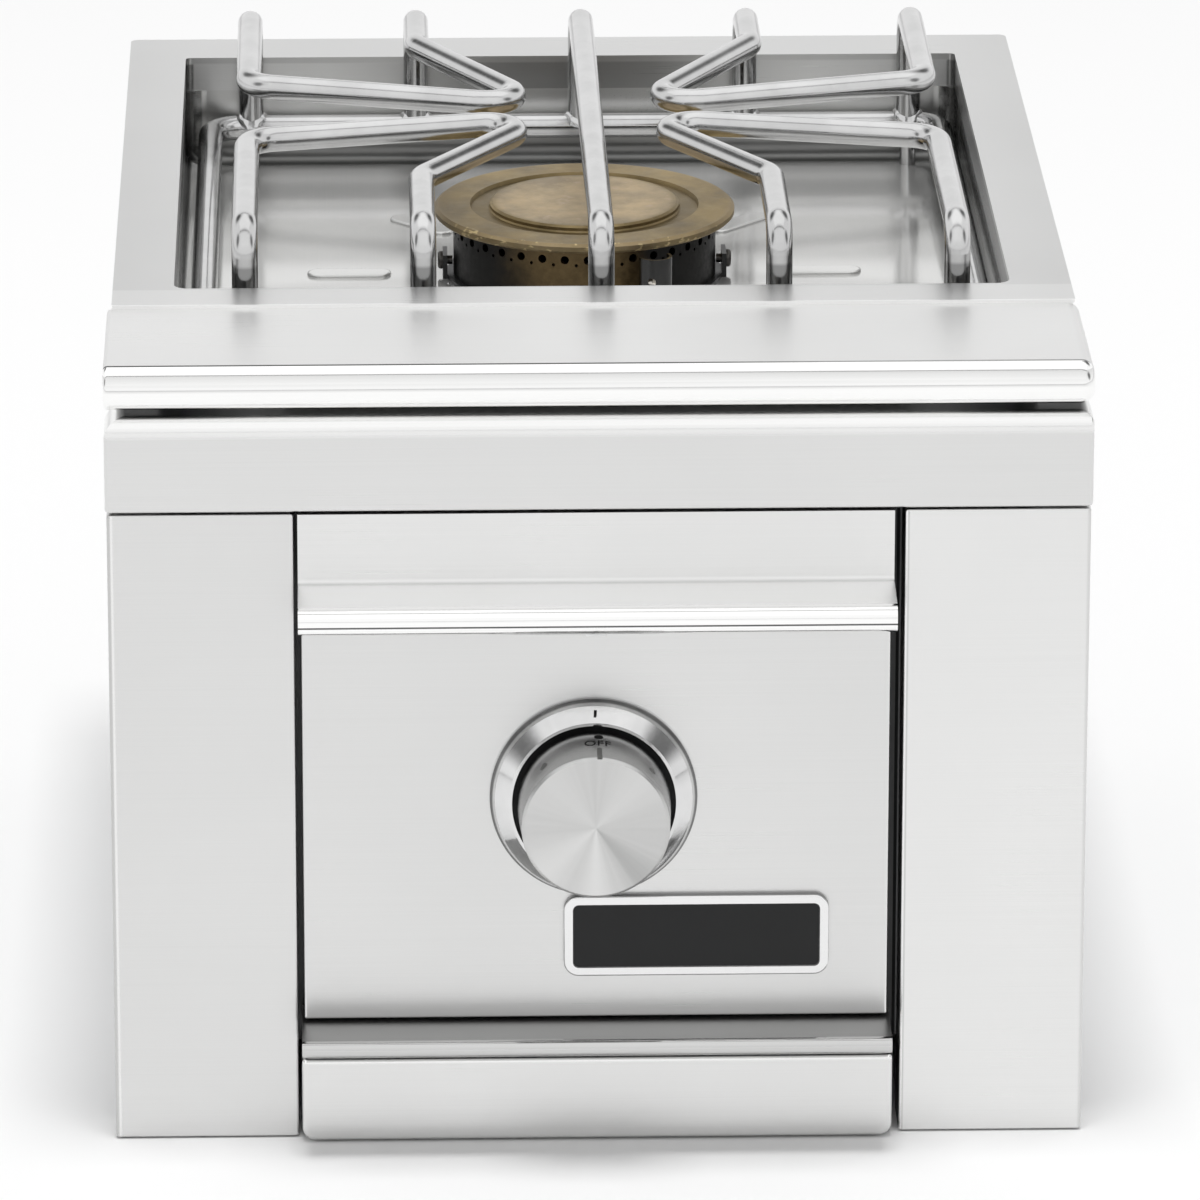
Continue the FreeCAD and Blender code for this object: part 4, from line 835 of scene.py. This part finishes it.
def blank_plate():
    """The plate under the knob: a bright rim round a dark field with nothing on it."""
    tones = bpy.context.scene.burner_finishes
    details = bpy.context.scene.burner_details
    # Painted shade on the plate's side wall.
    side_wall = above("Y", -0.1950, 0.0002)
    chrome = brushed_steel("plate rim", shade(tones.polished, 1.05), 0.16, strength=0.02,
                           zones=[(side_wall, 0.30, 0.35)])
    field = smooth_plastic("plate field", (0.005, 0.0055, 0.006), 0.34, strength=0.05)
    field.shader.inputs["Specular IOR Level"].default_value = 0.35
    panel = -0.19285
    let_in = 0.0001
    edge_round = 0.0006
    bm = bmesh.new()
    face = plate_outline(bm, details.plate_left, details.plate_right, details.plate_bottom,
                         details.plate_top, details.plate_corner, panel + let_in)
    top = raised(bm, face, details.plate_thick)
    bmesh.ops.bevel(bm, geom=list(top.edges), offset=edge_round, segments=3, profile=0.5,
                    affect="EDGES", material=-1)
    in_front = [f for f in bm.faces if f.calc_center_median().y < panel - details.plate_thick * 0.9]
    top = max(in_front, key=lambda f: f.calc_area())
    bmesh.ops.inset_region(bm, faces=[top], thickness=details.plate_rim - edge_round, use_even_offset=True)
    bmesh.ops.inset_region(bm, faces=[top], thickness=0.0003, depth=-0.0005, use_even_offset=True)
    top.material_index = 1
    finished(bm, "blank_plate", [chrome, field], "housing")


def lamp():
    """Frosted lens of the lamp under the visor."""
    tones = bpy.context.scene.burner_finishes
    give(smooth_plastic("frosted lens", tones.lens, 0.35, strength=0.08), "lamp_lens")


# Studio


def studio():
    """Camera, floor, lamp, and the cards that the metal mirrors."""
    settings = bpy.context.scene.burner_studio
    bpy.context.scene.view_settings.view_transform = "Standard"
    place_camera(settings)
    surround(settings)
    floor()
    soft_lamp("top lamp", (0.0, -0.45, 6.0), (1.4, 1.5), settings.key)
    card("back strip", 35.5, 0.0, (6.0, 0.20), 0.30)
    card("top card", 71.0, 0.0, (4.0, 3.3), 1.25)
    card("high strip", 108.0, 0.0, (6.0, 0.26), 0.40)
    card("front card", 135.0, 0.0, (4.0, 2.2), 1.07)
    for side in (-1, 1):
        card("side card", 26.0, side * 110.0, (1.8, 2.4), 0.20, fade=0.7)
        card("back card", 36.0, side * 38.0, (2.4, 2.0), 0.12, fade=0.75)


def place_camera(settings):
    """The camera as solved from the photograph."""
    yaw, pitch, roll = settings.yaw, settings.pitch, settings.roll
    ahead = Vector((math.sin(yaw) * math.cos(pitch), math.cos(yaw) * math.cos(pitch), -math.sin(pitch)))
    right = Vector((math.cos(yaw), -math.sin(yaw), 0.0))
    up = right.cross(ahead)
    across = math.cos(roll) * right + math.sin(roll) * up
    upward = -math.sin(roll) * right + math.cos(roll) * up
    data = bpy.data.cameras.new("camera")
    data.sensor_width = 36.0
    data.sensor_fit = "HORIZONTAL"
    data.lens = settings.lens
    data.clip_start = 0.1
    data.clip_end = 50.0
    camera = bpy.data.objects.new("camera", data)
    bpy.context.scene.collection.objects.link(camera)
    turn = Matrix((across, upward, -ahead)).transposed().to_4x4()
    camera.matrix_world = Matrix.Translation(Vector(settings.place)) @ turn
    bpy.context.scene.camera = camera


def surround(settings):
    """White to the camera and in reflections, and an even grey light everywhere else."""
    world = bpy.data.worlds.new("studio")
    bpy.context.scene.world = world
    world.use_nodes = True
    tree = world.node_tree
    tree.nodes.clear()
    output = tree.nodes.new("ShaderNodeOutputWorld")
    plain = tree.nodes.new("ShaderNodeBackground")
    plain.inputs["Color"].default_value = (1.0, 1.0, 1.0, 1.0)
    plain.inputs["Strength"].default_value = settings.ambient
    shown = tree.nodes.new("ShaderNodeBackground")
    shown.inputs["Color"].default_value = (1.0, 1.0, 1.0, 1.0)
    shown.inputs["Strength"].default_value = 1.0
    path = tree.nodes.new("ShaderNodeLightPath")
    seen_or_mirrored = tree.nodes.new("ShaderNodeMath")
    seen_or_mirrored.operation = "MAXIMUM"
    any_view = tree.nodes.new("ShaderNodeMath")
    any_view.operation = "MAXIMUM"
    blend = tree.nodes.new("ShaderNodeMixShader")
    tree.links.new(path.outputs["Is Camera Ray"], seen_or_mirrored.inputs[0])
    tree.links.new(path.outputs["Is Glossy Ray"], seen_or_mirrored.inputs[1])
    tree.links.new(seen_or_mirrored.outputs[0], any_view.inputs[0])
    tree.links.new(path.outputs["Is Transmission Ray"], any_view.inputs[1])
    tree.links.new(any_view.outputs[0], blend.inputs[0])
    tree.links.new(plain.outputs[0], blend.inputs[1])
    tree.links.new(shown.outputs[0], blend.inputs[2])
    tree.links.new(blend.outputs[0], output.inputs["Surface"])


def stage_sheet(name, width, depth):
    """A flat sheet that belongs to the stage."""
    bm = bmesh.new()
    bmesh.ops.create_grid(bm, x_segments=1, y_segments=1, size=0.5)
    bmesh.ops.scale(bm, verts=bm.verts, vec=(width, depth, 1.0))
    mesh = bpy.data.meshes.new(name)
    bm.to_mesh(mesh)
    bm.free()
    piece = bpy.data.objects.new(name, mesh)
    bpy.context.scene.collection.objects.link(piece)
    return piece


def floor():
    """A pale floor that keeps the object's soft shadow."""
    ground = stage_sheet("floor", 30.0, 30.0)
    ground.location = (0.0, 0.0, -0.0004)
    finish = bpy.data.materials.new("pale floor")
    finish.use_nodes = True
    shader = finish.node_tree.nodes["Principled BSDF"]
    shader.inputs["Base Color"].default_value = (0.90, 0.90, 0.90, 1.0)
    shader.inputs["Roughness"].default_value = 0.9
    shader.inputs["Specular IOR Level"].default_value = 0.0
    ground.data.materials.append(finish)


def soft_lamp(name, place, size, power):
    """A square lamp that aims at the object and shows in no reflection."""
    data = bpy.data.lights.new(name, "AREA")
    data.shape = "RECTANGLE"
    data.size = size[0]
    data.size_y = size[1]
    data.energy = power
    light = bpy.data.objects.new(name, data)
    bpy.context.scene.collection.objects.link(light)
    light.location = place
    aim = OBJECT_MIDDLE - Vector(place)
    light.rotation_euler = aim.to_track_quat("-Z", "Y").to_euler()
    light.visible_glossy = False


def card(name, height, turn, size, tone, fade=0.0):
    """A card that only shows in reflections, at an angle over the back of the floor and a turn to
    the side. Fade is the share of the card over which it brightens to white at its edges."""
    board = stage_sheet(name, size[0], size[1])
    height, turn = math.radians(height), math.radians(turn)
    level = math.cos(height)
    way = Vector((math.sin(turn) * level, math.cos(turn) * level, math.sin(height)))
    board.location = OBJECT_MIDDLE + way * CARD_DISTANCE
    board.rotation_euler = (-way).to_track_quat("Z", "Y").to_euler()
    finish = bpy.data.materials.new(name)
    finish.use_nodes = True
    tree = finish.node_tree
    tree.nodes.clear()
    output = tree.nodes.new("ShaderNodeOutputMaterial")
    glow = tree.nodes.new("ShaderNodeEmission")
    glow.inputs["Color"].default_value = (tone, tone, tone, 1.0)
    tree.links.new(glow.outputs[0], output.inputs["Surface"])
    if fade > 0.0:
        fade_out(tree, glow, size, tone, fade)
    board.data.materials.append(finish)
    board.visible_camera = False
    board.visible_diffuse = False
    board.visible_shadow = False
    board.visible_transmission = False


def fade_out(tree, glow, size, tone, fade):
    """Brightens a card to white from its middle to its edges."""
    coordinate = tree.nodes.new("ShaderNodeTexCoord")
    scale = tree.nodes.new("ShaderNodeMapping")
    scale.inputs["Scale"].default_value = (2.0 / size[0], 2.0 / size[1], 0.0)
    reach = tree.nodes.new("ShaderNodeVectorMath")
    reach.operation = "LENGTH"
    level = tree.nodes.new("ShaderNodeMapRange")
    level.interpolation_type = "SMOOTHSTEP"
    level.inputs["From Min"].default_value = 1.0 - fade
    level.inputs["From Max"].default_value = 1.0
    level.inputs["To Min"].default_value = tone
    level.inputs["To Max"].default_value = 1.0
    tree.links.new(coordinate.outputs["Object"], scale.inputs["Vector"])
    tree.links.new(scale.outputs["Vector"], reach.inputs[0])
    tree.links.new(reach.outputs["Value"], level.inputs["Value"])
    tree.links.new(level.outputs["Result"], glow.inputs["Color"])


# Operators


class BurnerOperator:
    """What the operators share."""
    bl_options = {"REGISTER", "UNDO"}


class BURNER_OT_front(BurnerOperator, bpy.types.Operator):
    """Brush the front panels and polish their noses"""
    bl_idname = "burner.front"
    bl_label = "Front panels"

    def execute(self, context):
        brushed_front()
        return {"FINISHED"}


class BURNER_OT_sheets(BurnerOperator, bpy.types.Operator):
    """Finish the deck, the tray and the housing"""
    bl_idname = "burner.sheets"
    bl_label = "Deck and housing"

    def execute(self, context):
        sheet_work()
        return {"FINISHED"}


class BURNER_OT_burner(BurnerOperator, bpy.types.Operator):
    """Finish the cap, the drum, the holder and the igniter"""
    bl_idname = "burner.burner"
    bl_label = "Burner"

    def execute(self, context):
        burner_parts()
        return {"FINISHED"}


class BURNER_OT_gas(BurnerOperator, bpy.types.Operator):
    """Finish the pipes, the valve and the jet"""
    bl_idname = "burner.gas"
    bl_label = "Gas way"

    def execute(self, context):
        gas_parts()
        return {"FINISHED"}


class BURNER_OT_grate(BurnerOperator, bpy.types.Operator):
    """Polish the rods of the grate and add their weld beads"""
    bl_idname = "burner.grate"
    bl_label = "Grate"

    def execute(self, context):
        grate()
        return {"FINISHED"}


class BURNER_OT_knob(BurnerOperator, bpy.types.Operator):
    """Spin the knob's face, mark it, and polish the bezel"""
    bl_idname = "burner.knob"
    bl_label = "Knob and bezel"

    def execute(self, context):
        knob_parts()
        return {"FINISHED"}


class BURNER_OT_plate(BurnerOperator, bpy.types.Operator):
    """Add the blank plate under the knob"""
    bl_idname = "burner.plate"
    bl_label = "Blank plate"

    def execute(self, context):
        blank_plate()
        return {"FINISHED"}


class BURNER_OT_lamp(BurnerOperator, bpy.types.Operator):
    """Frost the lens under the visor"""
    bl_idname = "burner.lamp"
    bl_label = "Lamp"

    def execute(self, context):
        lamp()
        return {"FINISHED"}


class BURNER_OT_studio(BurnerOperator, bpy.types.Operator):
    """Set up the floor, the light and the camera"""
    bl_idname = "burner.studio"
    bl_label = "Studio"

    def execute(self, context):
        studio()
        return {"FINISHED"}


OPERATORS = (BURNER_OT_front, BURNER_OT_sheets, BURNER_OT_burner, BURNER_OT_gas, BURNER_OT_grate,
             BURNER_OT_knob, BURNER_OT_plate, BURNER_OT_lamp, BURNER_OT_studio)


class BURNER_PT_pieces(bpy.types.Panel):
    bl_idname = "BURNER_PT_pieces"
    bl_label = "Side burner"
    bl_space_type = "VIEW_3D"
    bl_region_type = "UI"
    bl_category = "Side burner"

    def draw(self, context):
        for settings in (context.scene.burner_finishes, context.scene.burner_details,
                         context.scene.burner_studio):
            box = self.layout.box()
            for name in settings.__annotations__:
                box.prop(settings, name)
        for operator in OPERATORS:
            self.layout.operator(operator.bl_idname)


CLASSES = (BurnerFinishes, BurnerDetails, BurnerStudio) + OPERATORS + (BURNER_PT_pieces,)


def register():
    for item in CLASSES:
        bpy.utils.register_class(item)
    bpy.types.Scene.burner_finishes = bpy.props.PointerProperty(type=BurnerFinishes)
    bpy.types.Scene.burner_details = bpy.props.PointerProperty(type=BurnerDetails)
    bpy.types.Scene.burner_studio = bpy.props.PointerProperty(type=BurnerStudio)


def unregister():
    del bpy.types.Scene.burner_studio
    del bpy.types.Scene.burner_details
    del bpy.types.Scene.burner_finishes
    for item in reversed(CLASSES):
        bpy.utils.unregister_class(item)


def main():
    register()
    bpy.ops.burner.front()
    bpy.ops.burner.sheets()
    bpy.ops.burner.burner()
    bpy.ops.burner.gas()
    bpy.ops.burner.grate()
    bpy.ops.burner.knob()
    bpy.ops.burner.plate()
    bpy.ops.burner.lamp()
    bpy.ops.burner.studio()


if __name__ == "__main__":
    main()
